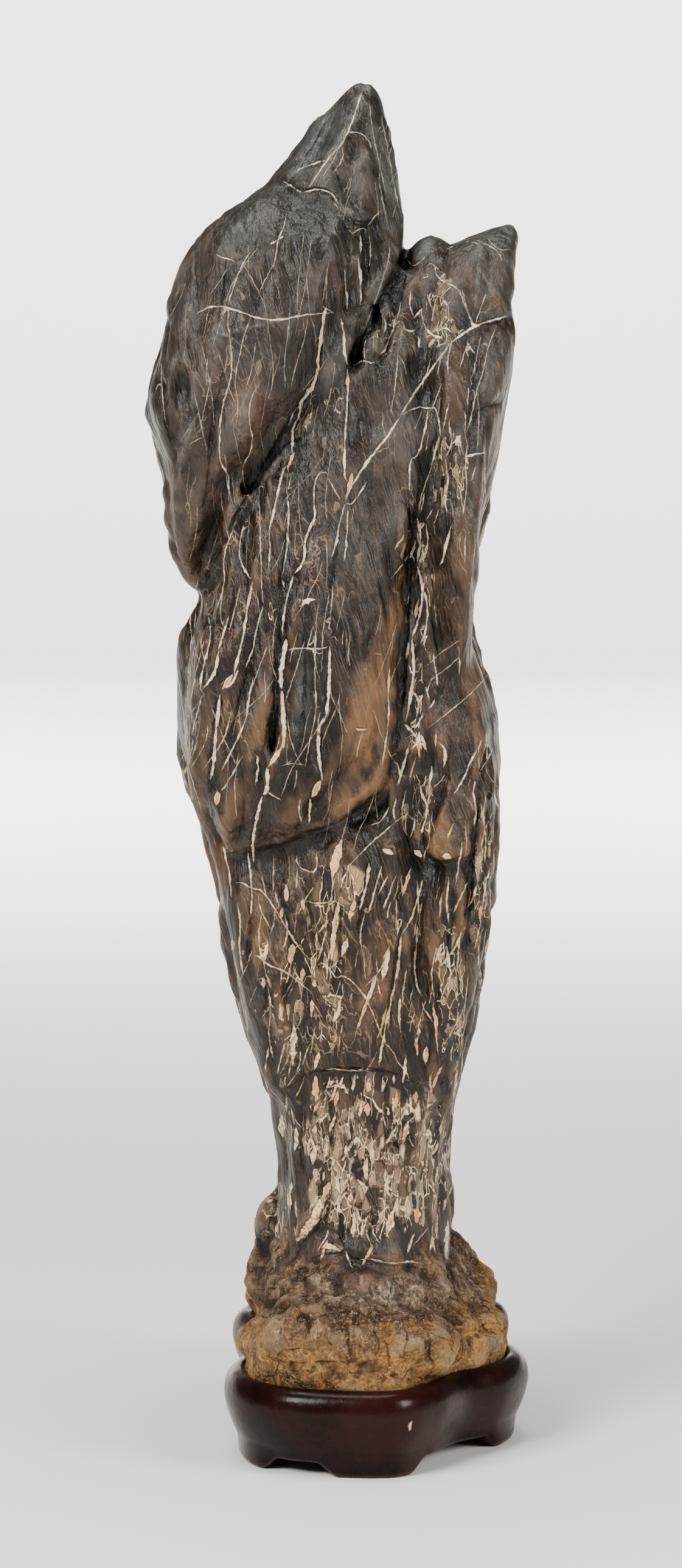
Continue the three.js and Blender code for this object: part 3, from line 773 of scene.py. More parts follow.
# Lenses: short veins that swell in the middle.
FRONT_LENSES = Vein.read("""
.5 .1 592,385 594,402 592,420
.6 .1 588,420 594,462 590,482
.4 .1 592,466 594,484 592,503
.7 1 523,598 520,622 506,650
.8 1 484,742 472,772
.7 .9 571,602 572,652
.9 .9 579,775 575,800 568,822
.8 .3 772,528 782,537 790,534
.7 .3 686,552 690,560 688,572
.7 .4 700,540 712,552 728,556
.5 .3 664,538 672,546 684,542
.5 .2 722,540 734,538 742,546
.44 .2 708,480 704,494 710,506
.4 .2 694,506 686,518 678,524
.4 .3 630,520 636,534 630,548
.4 .2 640,556 634,574 624,584
.34 .2 652,516 646,532 648,546
.3 .4 712,760 690,820 688,850
.44 .6 722,716 708,770
.3 .5 760,780 756,810 762,840
.4 .4 742,860 738,880 730,900 728,921
.5 .2 470,872 476,896
.6 .1 464,950 467,966
.5 .1 518,832 518,847 514,866
.56 .1 488,995 504,984 521,986
.9 .9 528,1282 512,1310
.7 1 384,1106 364,1134
.5 1 408,1160 405,1178
.8 .6 464,1225 452,1246 439,1261
.6 .1 333,1132 346,1118 356,1098 359,1068
.7 .9 584,1196 592,1200 604,1198
.4 .9 616,1072 622,1076 628,1074
.5 .4 718,1218 730,1226 733,1246 728,1262
.44 .1 690,1200 688,1218 694,1234
.6 .9 676,1423 660,1476
.5 .9 684,1556 683,1574
1 1 358,1298 356,1324
.9 .7 470,1452 471,1482
.7 .6 464,1490 462,1512
1.3 .5 481,1550 477,1584
.8 .8 498,1476 499,1496
.8 .3 498,1588 496,1614
.8 .4 517,1610 517,1622
.9 .3 513,1642 512,1672
1 .6 558,1472 545,1560 545,1581
1.1 .7 584,1478 574,1512
.8 .5 572,1540 562,1572
1.7 .5 562,1378 550,1420 546,1444
1.1 .3 628,1396 637,1398 646,1404
1.2 .3 680,1396 694,1408
1 .2 726,1408 736,1406 742,1410
.6 .8 434,1604 433,1624
1.2 .1 483,1676 481,1754
.9 .3 526,1726 516,1758
1.3 .9 519,1766 520,1812
1.2 .9 605,1812 604,1834
.9 .5 608,1776 604,1795
.9 .7 685,1792 682,1814
.9 .5 702,1718 699,1750
.7 .5 648,1834 648,1848
.8 .8 726,1846 725,1868
1.2 0 704,1854 708,1880
.9 .4 518,1848 516,1864
1 .2 516,1886 514,1914
.9 .2 537,1884 534,1902
1 .2 569,1882 568,1902
.7 .4 694,1906 694,1916
.8 .2 700,1916 700,1928
.7 .4 382,1542 382,1562
1.7 1 686,1982 684,2010
1.3 .1 646,1988 638,2026
1.1 .4 583,1988 580,2034
1 .9 541,1942 533,1966
1.9 .1 534,1960 522,1992 506,2018 488,2040
1 .3 577,1958 576,1976
1.1 .2 526,2050 542,2046 560,2056
1 .1 560,1640 556,1660 548,1680
1.1 .3 440,1546 434,1580
1 .2 640,1560 628,1612
.9 .2 672,1840 662,1880
1 .3 464,1830 462,1850 466,1870
.9 .3 486,1850 488,1870 484,1892
1 .1 604,1900 600,1920 604,1940
.8 .2 640,1930 634,1950 640,1966
.9 .2 480,1940 474,1964 478,1990
.8 .1 736,2002 733,2071
""", swelling=True)

FRONT_FLECKS = Flecks.read("""
100 470 745 1760 2060 3.5 8 .32
100 410 775 1400 1760 5 14 .22
40 668 720 840 1340 3.5 9 .28
60 300 560 820 1250 8 30 .14
36 690 800 480 880 4 12 .24
46 300 560 380 820 9 26 .13
40 640 810 1330 1760 5 14 .26
34 460 700 960 1340 8 24 .13
24 560 660 180 340 4 14 .14
26 784 812 1180 1680 5 16 .24
""")

# Folds of the sides and the back: where they run, their kind, and their width, depth and reach in
# millimetres, each as a number or as the least and the most.
ROUND_FOLDS = (
    (Walks(46, (50, 150), 0.16, 0.1, 430, 74), CREASE, (1.8, 3.2), (1.2, 3.6), 8),
    (Walks(16, (30, 90), 0.22, 0.2, 400, 90), STEP, 2.4, (1.4, 3.2), (7, 13)),
    (Walks(26, (40, 110), 0.14, 0.1, 440, 80), RIDGE, (1.8, 2.8), (0.7, 1.5), 8),
)

# The bulges and hollows of the sides and the back: how many, and the least and the most of each
# of a spot's numbers, in millimetres.
ROUND_FORM_COUNT = 34
ROUND_FORM_SPANS = ((-130, 130), (80, 430), (6, 14), (12, 34), (-20, 20), (-1.8, 1.8))

# Veins of the sides and the back: where they run, how many of them are lenses, half the width of a
# thread and of a lens as the least and the most, and how warm their cores may be.
ROUND_VEINS = (
    (Walks(70, (40, 150), 0.16, 0.16, 445, 80), 0, (0.22, 0.6), (), (0, 0, 0.1, 0.3, 0.5)),
    (Walks(40, (30, 90), 0.9, 0.3, 430, 90), 0, (0.16, 0.36), (), (0.1,)),
    (Walks(26, (30, 90), -0.7, 0.3, 430, 90), 0, (0.16, 0.34), (), (0.0,)),
    (Walks(180, (10, 40), 0.16, 0.14, 440, 80), 0, (0.12, 0.26), (), (0.0,)),
    (
        Walks(200, (9, 14), 0.1, 0.14, 220, 78), 0.6, (0.15, 0.4), (0.25, 0.9),
        (0, 0.1, 0.2, 0.5, 0.9),
    ),
    (Walks(60, (9, 18), 0.1, 0.14, 430, 200), 1, (), (0.3, 1.0), (0, 0.2, 0.6, 0.9)),
)


class Zone(Enum):
    """Finishes of the stone that are painted on in soft patches, and the place of each. The dark
    patches are partly painted shade, and the sheen patches partly a painted sheen.
    """

    BRECCIA = 0
    CRUST = 1
    TAN = 2
    SHEEN = 3
    DARK = 4
    PINK = 5
    PALE = 6
    LINES = 7


# How many patches of each finish the sides and the back have, and the least and the most of each
# of a patch's numbers, in millimetres.
ROUND_ZONE_COUNTS = {
    Zone.BRECCIA: 16, Zone.TAN: 14, Zone.SHEEN: 22, Zone.DARK: 20, Zone.PINK: 18, Zone.PALE: 16,
    Zone.LINES: 18,
}
ROUND_ZONE_SPANS = ((-135, 135), (60, 440), (4, 12), (9, 34), (-24, 12), (0.4, 1.0))

FRONT_ZONES = {
    Zone.BRECCIA: Spot.read("""
640 540 24 44 16 1
715 530 50 44 0 1
738 770 36 90 6 .8
700 940 20 90 4 .7
690 1120 18 110 4 .8
690 1330 40 70 0 .7
600 1850 130 90 0 1
690 1900 60 130 0 .8
500 1640 90 110 0 .6
600 1960 120 80 0 .9
790 1440 24 160 4 .6
500 690 20 50 20 .5
560 1470 60 60 0 .5
440 1010 20 60 0 .3
450 2000 26 90 0 .7
545 660 24 36 0 .6
740 1640 36 130 0 .6
720 470 26 30 0 .7
"""),
    Zone.TAN: Spot.read("""
606 1180 34 120 10 1.3
625 1090 22 70 8 .8
646 1020 14 80 16 .8
590 1300 60 24 -26 .8
745 630 28 70 8 .45
384 1340 26 60 8 .35
725 1380 26 40 4 .5
420 1190 16 60 14 .35
330 1300 20 90 0 .3
780 1120 22 80 0 .3
820 640 10 90 6 .3
586 246 16 20 0 .3
410 700 30 50 30 .4
625 1590 36 80 12 .5
790 850 12 90 4 .4
420 1520 24 80 0 .35
360 1420 20 60 0 .4
"""),
    # Slate-grey tone, with a painted sheen where facets face the lights.
    Zone.SHEEN: Spot.read("""
520 230 34 80 30 .9
636 290 24 100 -10 .8
575 300 40 50 0 .5
800 462 13 30 4 1
400 380 60 30 -40 .5
310 480 30 80 14 .3
300 640 14 40 4 .7
690 400 30 16 0 .7
800 400 40 18 -12 .6
660 700 60 60 30 .5
496 1150 16 60 4 .7
424 1150 18 60 14 .4
545 600 14 60 4 .7
550 650 16 24 0 .7
780 960 14 120 4 .4
560 900 60 50 0 .4
646 2046 26 30 0 .35
735 2036 8 36 0 .9
420 560 60 60 0 .3
650 840 20 40 10 .5
712 1262 10 36 0 .8
"""),
    # Darker rock, and painted shade under overhangs, along lips and in grooves and hollows.
    Zone.DARK: Spot.read("""
470 720 40 34 30 1
430 790 24 40 26 .7
650 470 16 60 20 1
678 960 9 140 3 1
600 1345 46 16 -28 1
530 1384 50 12 -14 .7
450 1170 9 50 0 .8
680 800 12 60 10 .8
776 1480 8 130 4 .8
448 2142 30 12 0 1
432 2046 12 34 0 1
648 1886 12 15 0 1
672 1878 7 10 0 1
680 1915 7 9 0 1
700 1610 30 60 0 .5
620 720 30 40 30 .4
520 1500 30 40 0 .4
640 1880 26 26 0 .5
575 320 16 22 0 .7
745 1500 20 90 0 .4
804 1340 10 110 2 .6
500 390 60 50 0 .8
410 480 60 80 10 .6
620 560 16 50 16 .9
470 755 20 30 30 1
590 360 30 20 0 .6
560 1240 30 60 0 .3
404 840 12 60 28 .9
356 920 10 60 26 .9
500 1120 60 90 0 .4
460 940 60 70 10 .4
640 1350 40 14 -24 .8
430 2100 20 60 0 .7
"""),
    Zone.PINK: Spot.read("""
420 660 50 50 30 .6
550 460 40 40 0 .5
360 790 34 60 14 .6
540 610 14 34 14 .5
706 930 16 60 0 .7
556 1410 18 38 8 .8
720 1190 40 40 0 .4
640 2120 90 34 0 .9
470 1560 40 80 0 .4
610 1640 26 60 16 .7
690 1560 30 70 10 .4
320 880 14 50 0 .4
560 1850 60 60 0 .4
440 2090 26 18 0 .5
690 1370 26 30 0 .6
560 2110 60 30 0 .6
730 2120 30 26 0 .5
740 740 20 60 0 .5
"""),
    Zone.PALE: Spot.read("""
566 340 13 24 -24 1
545 2052 22 9 0 .9
480 1480 40 50 0 .3
480 1720 12 50 0 .6
620 1960 90 60 0 .4
520 1990 16 44 34 .6
600 1880 100 40 0 .5
690 1810 36 40 0 .5
550 2250 110 10 0 .7
690 1390 70 18 0 .5
700 550 30 18 0 .6
330 1120 10 26 20 .5
512 2120 6 26 0 .6
646 2186 26 12 0 .3
660 1950 50 40 0 .4
"""),
    Zone.LINES: Spot.read("""
400 950 90 160 14 1
380 620 90 160 8 .7
520 900 80 140 10 .8
700 560 90 90 0 .8
540 1600 170 200 0 1
600 1900 150 130 0 1
560 230 60 80 20 .5
700 900 90 160 0 .6
420 1200 80 120 0 .7
790 1400 40 200 0 .9
600 700 80 80 0 .8
800 560 40 120 0 .3
"""),
}


# ---- measuring along lines


@dataclass
class Sheet:
    """A surface spread out flat, in millimetres: each point's flat place, whether it is shown, how
    many units of a spot's numbers are a millimetre, and 1 if they grow down as the places do,
    otherwise -1."""

    across: Array
    down: Array
    used: Array
    scale: float
    way: int

    def oval(self, spot: Spot) -> Array:
        """Lays a spot's soft oval on the sheet.

        Args:
            spot: the spot.

        Returns:
            Its strength at each point that the sheet shows, and 0 at the others.
        """
        turn = math.radians(spot.turn)
        x = self.across - spot.across / self.scale
        y = (self.down - spot.down / self.scale) * self.way
        lengthwise = y * math.cos(turn) - x * math.sin(turn)
        crosswise = x * math.cos(turn) + y * math.sin(turn)
        reach = spot.half_width / self.scale, spot.half_height / self.scale
        far = np.hypot(crosswise / reach[0], lengthwise / reach[1])
        return np.where(self.used, spot.strength * (1 - smoothstep(0.25, 1.35, far)), 0)

    def near(self, path: Array, margin: float) -> Array:
        """Finds the points in the box round a path.

        Args:
            path: the path's places, one a row.
            margin: how much wider the box is.

        Returns:
            The numbers of those points.
        """
        near = self.used.copy()
        for place, low, high in zip((self.across, self.down), path.min(0), path.max(0)):
            near &= (place > low - margin) & (place < high + margin)
        return np.flatnonzero(near)

    def measure(self, path: Array, margin: float) -> tuple[Array, Array, Array, Array]:
        """Measures points against a path.

        Args:
            path: the path's places, one a row.
            margin: how far from the path points are measured.

        Returns:
            The points' numbers, how far each is to the right of a path that runs down, how far
            along the path from 0 to 1, and how far past the path's ends.
        """
        chosen = self.near(path, margin)
        place = np.stack([self.across[chosen], self.down[chosen]], 1)
        steps = np.diff(path, axis=0)
        lengths = np.maximum(np.linalg.norm(steps, axis=1), 1e-6)
        starts = np.concatenate([[0.0], np.cumsum(lengths)])
        best = np.full(len(chosen), np.inf)
        side, along, past = np.zeros(len(chosen)), np.zeros(len(chosen)), np.zeros(len(chosen))
        last = len(steps) - 1
        for i, (start, step, length) in enumerate(zip(path[:-1], steps, lengths)):
            away = place - start
            free = (away @ step) / (length * length)
            share = np.clip(free, 0, 1)
            off = away - share[:, None] * step
            distance = np.hypot(off[:, 0], off[:, 1])
            cross = away[:, 0] * step[1] - away[:, 1] * step[0]
            closer = distance < best
            best[closer] = distance[closer]
            side[closer] = (np.sign(cross) * distance)[closer]
            along[closer] = ((starts[i] + share * length) / starts[-1])[closer]
            beyond = np.where(free < 0, -free * length if i == 0 else 0, 0)
            beyond = np.where(free > 1, (free - 1) * length if i == last else 0, beyond)
            past[closer] = beyond[closer]
        return chosen, side, along, past


def rounded(path: Array, times: int = 2) -> Array:
    """Cuts a path's corners.

    Args:
        path: the path's places, one a row.
        times: how many times the corners are cut.

    Returns:
        The smoother path, with the same ends.
    """
    for _ in range(times):
        before, after = path[:-1] * 0.75 + path[1:] * 0.25, path[:-1] * 0.25 + path[1:] * 0.75
        middle = np.stack([before, after], 1).reshape(-1, 2)[1:-1]
        path = np.concatenate([path[:1], middle, path[-1:]])
    return path


def noise_at(points: Array, size: Triple, octaves: int, offset: float) -> Array:
    """Smooth noise at places, mostly from -1 to 1, with lumps of a size along each axis."""
    scaled = points / np.array(size) + offset
    return np.array([noise.fractal(Vector(p), 1.0, 2.0, octaves) for p in scaled.tolist()])


# ---- the stone


@dataclass
class Surface:
    """A finely meshed surface that is shaped and marked point by point."""

    view: Viewpoint
    centre: Vector
    mesh: bpy.types.Mesh = field(default=None, repr=False)
    points: Array = field(default=None, repr=False)
    normals: Array = field(default=None, repr=False)
    edges: Array = field(default=None, repr=False)

    def read(self, mesh: bpy.types.Mesh) -> None:
        """Reads the mesh's points, in millimetres, and its edges.

        Args:
            mesh: the mesh.
        """
        self.mesh = mesh
        self.points = read_layer(mesh.vertices, "co", np.empty((len(mesh.vertices), 3))) / MM
        self.edges = read_layer(mesh.edges, "vertices", np.empty((len(mesh.edges), 2), int))
        self.write()

    def write(self) -> None:
        """Puts the points back in the mesh, and reads the way that each faces."""
        self.mesh.vertices.foreach_set("co", (self.points * MM).ravel())
        self.mesh.update()
        self.normals = read_layer(self.mesh.vertices, "normal", np.empty(self.points.shape))

    def averaged(self, values: Array) -> Array:
        """The mean of each point's neighbours.

        Args:
            values: one row for each point.

        Returns:
            The means, in the same form.
        """
        a, b, size = self.edges[:, 0], self.edges[:, 1], len(values)
        count = np.bincount(a, minlength=size) + np.bincount(b, minlength=size)
        columns = values.reshape(size, -1).T
        sums = [np.bincount(a, v[b], size) + np.bincount(b, v[a], size) for v in columns]
        return (np.stack(sums, 1) / np.maximum(count, 1)[:, None]).reshape(values.shape)

    def smooth(self, plain: int, kept: int) -> None:
        """Smooths the facets away by plain passes, and by passes that keep the volume."""
        for share in (0.5,) * plain + (0.5, -0.53) * kept:
            self.points += share * (self.averaged(self.points) - self.points)

    def facing(self) -> Array:
        """How squarely each point faces the viewer, from -1 to 1."""
        towards = np.array(self.view.place) / MM - self.points
        return (self.normals * towards).sum(1) / np.linalg.norm(towards, axis=1)

    def traced(self, line: Fold | Vein) -> Array:
        """A line's places on the front's sheet."""
        return np.array(trace(line.path)) / self.view.grain

    def front_sheet(self, least: float) -> Sheet:
        """Spreads out the points that face the viewer at least so squarely, as they are seen."""
        seen = self.view.picture(self.points * MM) / self.view.grain
        return Sheet(seen[:, 0], seen[:, 1], self.facing() > least, self.view.grain, 1)

    def paint_lines(self, name: str, members: list[Line], sheets: tuple[Sheet, Sheet]) -> None:
        """Writes one layer of lines: how far beside the nearest line each point is, half that
        line's width there, and its warmth.

        Args:
            name: the attribute's name.
            members: the layer's lines.
            sheets: the spread-out front, and the rest.
        """
        nearest = np.full(len(self.points), FAR)
        values = np.tile(np.array([FAR, -2.0, 0.0]), (len(self.points), 1))
        for sheet, path, vein in members:
            chosen, side, along, past = sheets[sheet].measure(path, LINE_REACH)
            ends = np.sin(math.pi * np.clip(along, 0.001, 0.999))
            if vein.swelling:
                half = vein.half_width * np.maximum(ends, 0.02) ** 0.75
            else:
                pulse = 1 + 0.2 * np.sin(along * len(path) * 1.9 + vein.half_width * 40)
                half = vein.half_width * np.minimum(1, 2.6 * ends + 0.15) * pulse
            half = half - past * 0.7 - smoothstep(*LINE_END, np.abs(side)) * 3
            far = np.abs(side) + past * 0.3
            closer = far < nearest[chosen]
            nearest[chosen[closer]] = far[closer]
            values[chosen[closer]] = np.stack([side, half, side * 0 + vein.warmth], 1)[closer]
        write_layer(self.mesh, name, values)

    def paint_wear(self) -> None:
        """Writes how hollow or proud each point is, on a fine and a broad scale."""
        values = []
        for passes in (2, 18):
            mean = self.points
            for _ in range(passes):
                mean = self.averaged(mean)
            proud = ((self.points - mean) * self.normals).sum(1)
            values.append(np.clip((proud - np.median(proud)) / (2.4 * proud.std()), -1, 1))
        fine = values[0]
        for _ in range(2):
            fine = self.averaged(fine)
        write_layer(self.mesh, "wear", np.stack([fine, values[1], fine * 0], 1))


@dataclass
class Rock(Surface):
    """The stone: one solid rock, sculpted and veined. The voxel is in metres, other lengths are in
    millimetres, and the girth is the radius that the sides and the back are unrolled at."""

    voxel: float = 0.00164
    flute_depth: float = 1.5
    crust_top: float = 64.0
    girth: float = 52.0
    cell: float = 5.0
    vein_layers: int = 6
    crease_layers: int = 2
    seed: int = 11
    creases: list[Line] = field(default_factory=list, repr=False)
    crests: list[Line] = field(default_factory=list, repr=False)
    crust: Array = field(default=None, repr=False)

    def build(self) -> bpy.types.Object:
        """Makes the stone.

        Returns:
            The finished piece.
        """
        rock = self.fine_copy()
        self.read(rock.data)
        self.smooth(9, 16)
        self.sculpt()
        self.smooth(1, 0)
        self.keep_inside()
        self.write()
        self.paint()
        finish = StoneFinish("veined_limestone", 0.28, self.vein_layers, self.crease_layers)
        rock.data.materials.clear()
        rock.data.materials.append(finish.make())
        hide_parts("stone")
        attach(rock, "root")
        return rock

    def fine_copy(self) -> bpy.types.Object:
        """Copies the solid, merges its points and remeshes it finely.

        Returns:
            The copy, with an even mesh and no modifiers.
        """
        shape = bmesh.new()
        shape.from_mesh(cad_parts["stone"].data)
        bmesh.ops.remove_doubles(shape, verts=shape.verts[:], dist=1e-6)
        blank = show(make_mesh(shape, "rock_blank"))
        remesh = blank.modifiers.new("even", "REMESH")
        remesh.mode, remesh.voxel_size = "VOXEL", self.voxel
        graph = bpy.context.evaluated_depsgraph_get()
        even = bpy.data.meshes.new_from_object(blank.evaluated_get(graph))
        bpy.data.objects.remove(blank)
        even.name = "veined_rock"
        even.shade_smooth()
        return show(even)

    def round_sheet(self, most: float) -> Sheet:
        """Unrolls the points that face the viewer at most so squarely, from the back's middle."""
        x, y, z = (self.points - np.array(self.centre) / MM).T
        return Sheet(np.arctan2(x, y) * self.girth, z, self.facing() <= most, 1.0, -1)

    @property
    def half_round(self) -> float:
        """How far to either side of the back a random line may start, in millimetres."""
        return math.pi * self.girth * 0.78

    def fold_height(self, sheet: Sheet, fold: Fold, path: Array) -> Array:
        """Works out what one fold does.

        Args:
            sheet: the spread-out surface.
            fold: the fold.
            path: its line on the sheet.

        Returns:
            How far each point moves out, in millimetres.
        """
        width, depth, reach = fold.width, fold.depth, fold.reach
        margin = max(width * 3, reach * 2.2 if fold.kind is STEP else 0)
        chosen, side, along, past = sheet.measure(rounded(path), margin)
        ends = smoothstep(0, 0.14, along) * smoothstep(0, 0.14, 1 - along)
        ends *= np.exp(-((past / width) ** 2))
        waver = 1 + 0.35 * np.sin(along * 37 + path[0, 0])
        if fold.kind is STEP:
            hollow = smoothstep(-width * 0.45, width * 0.45, side)
            hollow *= np.exp(-np.maximum(side, 0) ** 2 / reach**2)
            lip = np.exp(-(((side + width) / (width * 1.6)) ** 2))
            height = -depth * 0.8 * hollow + depth * 0.3 * lip
        elif fold.kind is RIDGE:
            height = depth * np.exp(-np.abs(side / width) ** 1.5) * waver
        else:
            groove = np.exp(-np.abs(side / (width * 0.62)) ** 1.25)
            banks = np.exp(-(((np.abs(side) - width * 1.5) / width) ** 2))
            height = (-depth * groove + depth * 0.18 * banks) * waver
        moved = np.zeros(len(self.points))
        moved[chosen] = height * ends
        return moved

    def sculpt(self) -> None:
        """Works the folds, flutes, forms and crust into the surface, least of all in the recess."""
        dice = random.Random(self.seed)
        front = smoothstep(0.02, 0.3, self.facing())
        sheets = self.front_sheet(-0.02), self.round_sheet(0.34)
        folds, sides = heights = np.zeros((2, len(self.points)))
        lines = [(0, self.traced(fold), fold, fold.depth) for fold in FRONT_FOLDS]
        for walks, kind, *spans in ROUND_FOLDS:
            for path in walks.draw(dice, self.half_round):
                drawn = (dice.uniform(*span) if isinstance(span, tuple) else span for span in spans)
                lines.append((1, path, Fold(kind, *drawn), 1.6))
        for sheet, path, fold, depth in lines:
            heights[sheet] += self.fold_height(sheets[sheet], fold, path)
            ridge = fold.kind is RIDGE
            vein = Vein(0.3 if ridge else min(0.2 + 0.12 * depth, 0.7), 0.0, "", True)
            (self.crests if ridge else self.creases).append((sheet, rounded(path), vein))
        for spot in FRONT_FORMS:
            folds += sheets[0].oval(spot)
        for spot in Spot.draw(dice, ROUND_FORM_COUNT, ROUND_FORM_SPANS):
            sides += sheets[1].oval(spot)
        self.crust = self.crust_share()
        flutes = self.flutes()
        lumps = noise_at(self.points, (24, 24, 34), 3, 5.0)
        dark_rock = front * (1.15 * folds + 0.75 * flutes) + (1 - front) * (sides + flutes)
        weathered = front * folds + (1 - front) * 0.4 * sides + self.crumble()
        free = smoothstep(23, 33, self.points[:, 2])
        moved = (1 - self.crust) * (dark_rock + 1.2 * lumps) + self.crust * weathered
        self.points += self.normals * (moved * (0.15 + 0.85 * free))[:, None]

    def crust_share(self) -> Array:
        """Finds the weathered foot, whose wavy edge is higher at the back.

        Returns:
            How much of each point belongs to it, from 0 to 1.
        """
        wave = noise_at(self.points, (16, 16, 16), 3, 2.0) * 9
        wave += noise_at(self.points, (5, 5, 5), 2, 8.0) * 2
        top = self.crust_top + 8 * (1 - smoothstep(0.0, 0.4, self.facing()))
        return 1 - smoothstep(-3, 3, self.points[:, 2] + wave - top)

    def flutes(self) -> Array:
        """Long grooves that follow the flow of the rock and lean round it.

        Returns:
            How far each point moves out, in millimetres.
        """
        x, y, z = (self.points - np.array(self.centre) / MM).T
        cos, sin = np.cos(z * TWIST), np.sin(z * TWIST)
        spun = np.stack([x * cos - y * sin, x * sin + y * cos, z], 1)
        coarse = np.abs(noise_at(spun, (13, 13, 150), 2, 3.0))
        fine = np.abs(noise_at(spun, (5.5, 5.5, 70), 2, 9.0))
        patch = 0.35 + 0.9 * np.clip(noise_at(self.points, (34, 34, 60), 2, 7.0) + 0.35, 0, 1)
        grooves = -np.exp(-(coarse / 0.10) ** 1.3) * 1.0 - np.exp(-(fine / 0.08) ** 1.3) * 0.4
        return self.flute_depth * patch * (grooves + 0.4 + 0.5 * np.minimum(coarse, 0.6))

    def crumble(self) -> Array:
        """The broken, layered surface of the foot.

        Returns:
            How far each point moves out, in millimetres.
        """
        places = (self.points / 15.0 + 4).tolist()
        broken = np.array([noise.voronoi(Vector(p))[0][0] for p in places])
        clods = noise_at(self.points, (17, 17, 13), 4, 1.0)
        grit = noise_at(self.points, (4.4, 4.4, 3.4), 2, 6.0)
        return 1.5 * (0.45 - broken) + 2.4 * clods + 0.9 * grit

    def keep_inside(self) -> None:
        """Keeps every point in the solid's own box, which starts at the recess's floor."""
        low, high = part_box("stone")
        self.points = np.clip(self.points, np.array(low) / MM + 0.1, np.array(high) / MM - 0.1)

    def paint(self) -> None:
        """Lays the veins, the patches of colour and the wear on the surface."""
        sheets = (self.front_sheet(0.16), self.round_sheet(0.16))
        self.paint_zones()
        veins = self.front_lines() + self.round_lines()
        veins.sort(key=lambda line: -line[2].half_width)
        for name, lines, count in (
            ("veins", veins, self.vein_layers),
            ("creases", self.creases, self.crease_layers),
            ("crests", self.crests, self.crease_layers),
        ):
            for number, members in enumerate(self.sort_lines(lines, count)):
                self.paint_lines(f"{name}_{number}", members, sheets)
        self.paint_wear()

    def sort_lines(self, lines: list[Line], count: int) -> list[list[Line]]:
        """Shares lines out among layers, so that no two in a layer are close. A line that has no
        room in any layer is left out.

        Args:
            lines: the lines.
            count: how many layers there are.

        Returns:
            The lines of each layer.
        """
        layers = [[] for _ in range(count)]
        taken = [set() for _ in range(count)]
        for sheet, path, vein in lines:
            length = np.linalg.norm(np.diff(path, axis=0), axis=1).sum()
            stops = np.linspace(0, len(path) - 1.001, max(3, int(length / 2)))
            dense = np.stack([np.interp(stops, range(len(path)), path[:, k]) for k in (0, 1)], 1)
            cells = {(sheet, int(x), int(y)) for x, y in dense // self.cell}
            near = (-1, 0, 1)
            wide = {(s, i + di, j + dj) for s, i, j in cells for di in near for dj in near}
            clashes = [len(wide & cells_there) for cells_there in taken]
            best = clashes.index(min(clashes))
            if clashes[best] <= 0.34 * len(cells) + 2:
                layers[best].append((sheet, path, vein))
                taken[best] |= cells
        return layers

    def front_lines(self) -> list[Line]:
        """The named veins and lenses of the front, and the flecks among them.

        Returns:
            The lines.
        """
        lines = [(0, rounded(self.traced(vein)), vein) for vein in FRONT_VEINS + FRONT_LENSES]
        dice = random.Random(self.seed + 5)
        for patch in FRONT_FLECKS:
            lines += patch.scatter(dice, self.view.grain)
        return lines

    def round_lines(self) -> list[Line]:
        """Veins, threads and lenses of the sides and the back.

        Returns:
            The lines.
        """
        dice = random.Random(self.seed + 9)
        lines = []
        for walks, share, thread, lens, warmths in ROUND_VEINS:
            for path in walks.draw(dice, self.half_round):
                swells = share == 1 or (share > 0 and dice.random() < share)
                half = dice.uniform(*(lens if swells else thread))
                warmth = dice.choice(warmths) if len(warmths) > 1 else warmths[0]
                lines.append((1, rounded(path), Vein(half, warmth, "", swells)))
        return lines

    def paint_zones(self) -> None:
        """Writes the soft patches of the finish, painted shade and a painted sheen among them."""
        front = smoothstep(0.04, 0.3, self.facing())
        sheet, back = self.front_sheet(-0.05), self.round_sheet(0.4)
        dice = random.Random(self.seed + 3)
        height, nothing = self.points[:, 2], np.zeros(len(self.points))
        wave = 46 * noise_at(self.points, (20, 20, 44), 3, 12.0)
        # On the sides and the back: breccia low down, slate tone with a painted sheen high up, pink
        # near the foot, and hairlines everywhere.
        everywhere = {
            Zone.BRECCIA: 0.75 * (1 - smoothstep(110, 225, height + wave)),
            Zone.SHEEN: 0.6 * smoothstep(300, 410, height),
            Zone.PINK: 0.15 * (1 - smoothstep(70, 84, height)),
            Zone.LINES: nothing + 0.5,
        }
        channels = np.zeros((len(self.points), len(Zone)))
        channels[:, Zone.CRUST.value] = self.crust
        for zone, count in ROUND_ZONE_COUNTS.items():
            seen, unseen = nothing, everywhere.get(zone, nothing)
            for spot in FRONT_ZONES[zone]:
                seen = np.maximum(seen, sheet.oval(spot))
            for spot in Spot.draw(dice, count, ROUND_ZONE_SPANS):
                unseen = np.maximum(unseen, back.oval(spot))
            channels[:, zone.value] = front * seen + (1 - front) * unseen
        write_layer(self.mesh, "patches_a", channels[:, :4])
        write_layer(self.mesh, "patches_b", channels[:, 4:])


# ---- finishes


class Value:
    """A node's output that is reckoned with like a number: each sum makes a math node."""

    def __init__(self, graph: "Graph", socket: bpy.types.NodeSocket) -> None:
        """Wraps a socket of a graph."""
        self.graph, self.socket = graph, socket

    def __add__(self, other: object) -> "Value":
        """Adds a value or number."""
        return self.graph.math("ADD", self, other)

    def __sub__(self, other: object) -> "Value":
        """Takes a value or number away."""
        return self.graph.math("SUBTRACT", self, other)

    def __mul__(self, other: object) -> "Value":
        """Multiplies by a value or number."""
        return self.graph.math("MULTIPLY", self, other)

    def rise(self, low: object, high: object, first: object = 0.0, last: object = 1.0) -> "Value":
        """Maps it smoothly from low and high to first and last."""
        inputs = {0: self, 1: low, 2: high, 3: first, 4: last}
        return self.graph.take("MapRange", inputs, interpolation_type="SMOOTHSTEP")


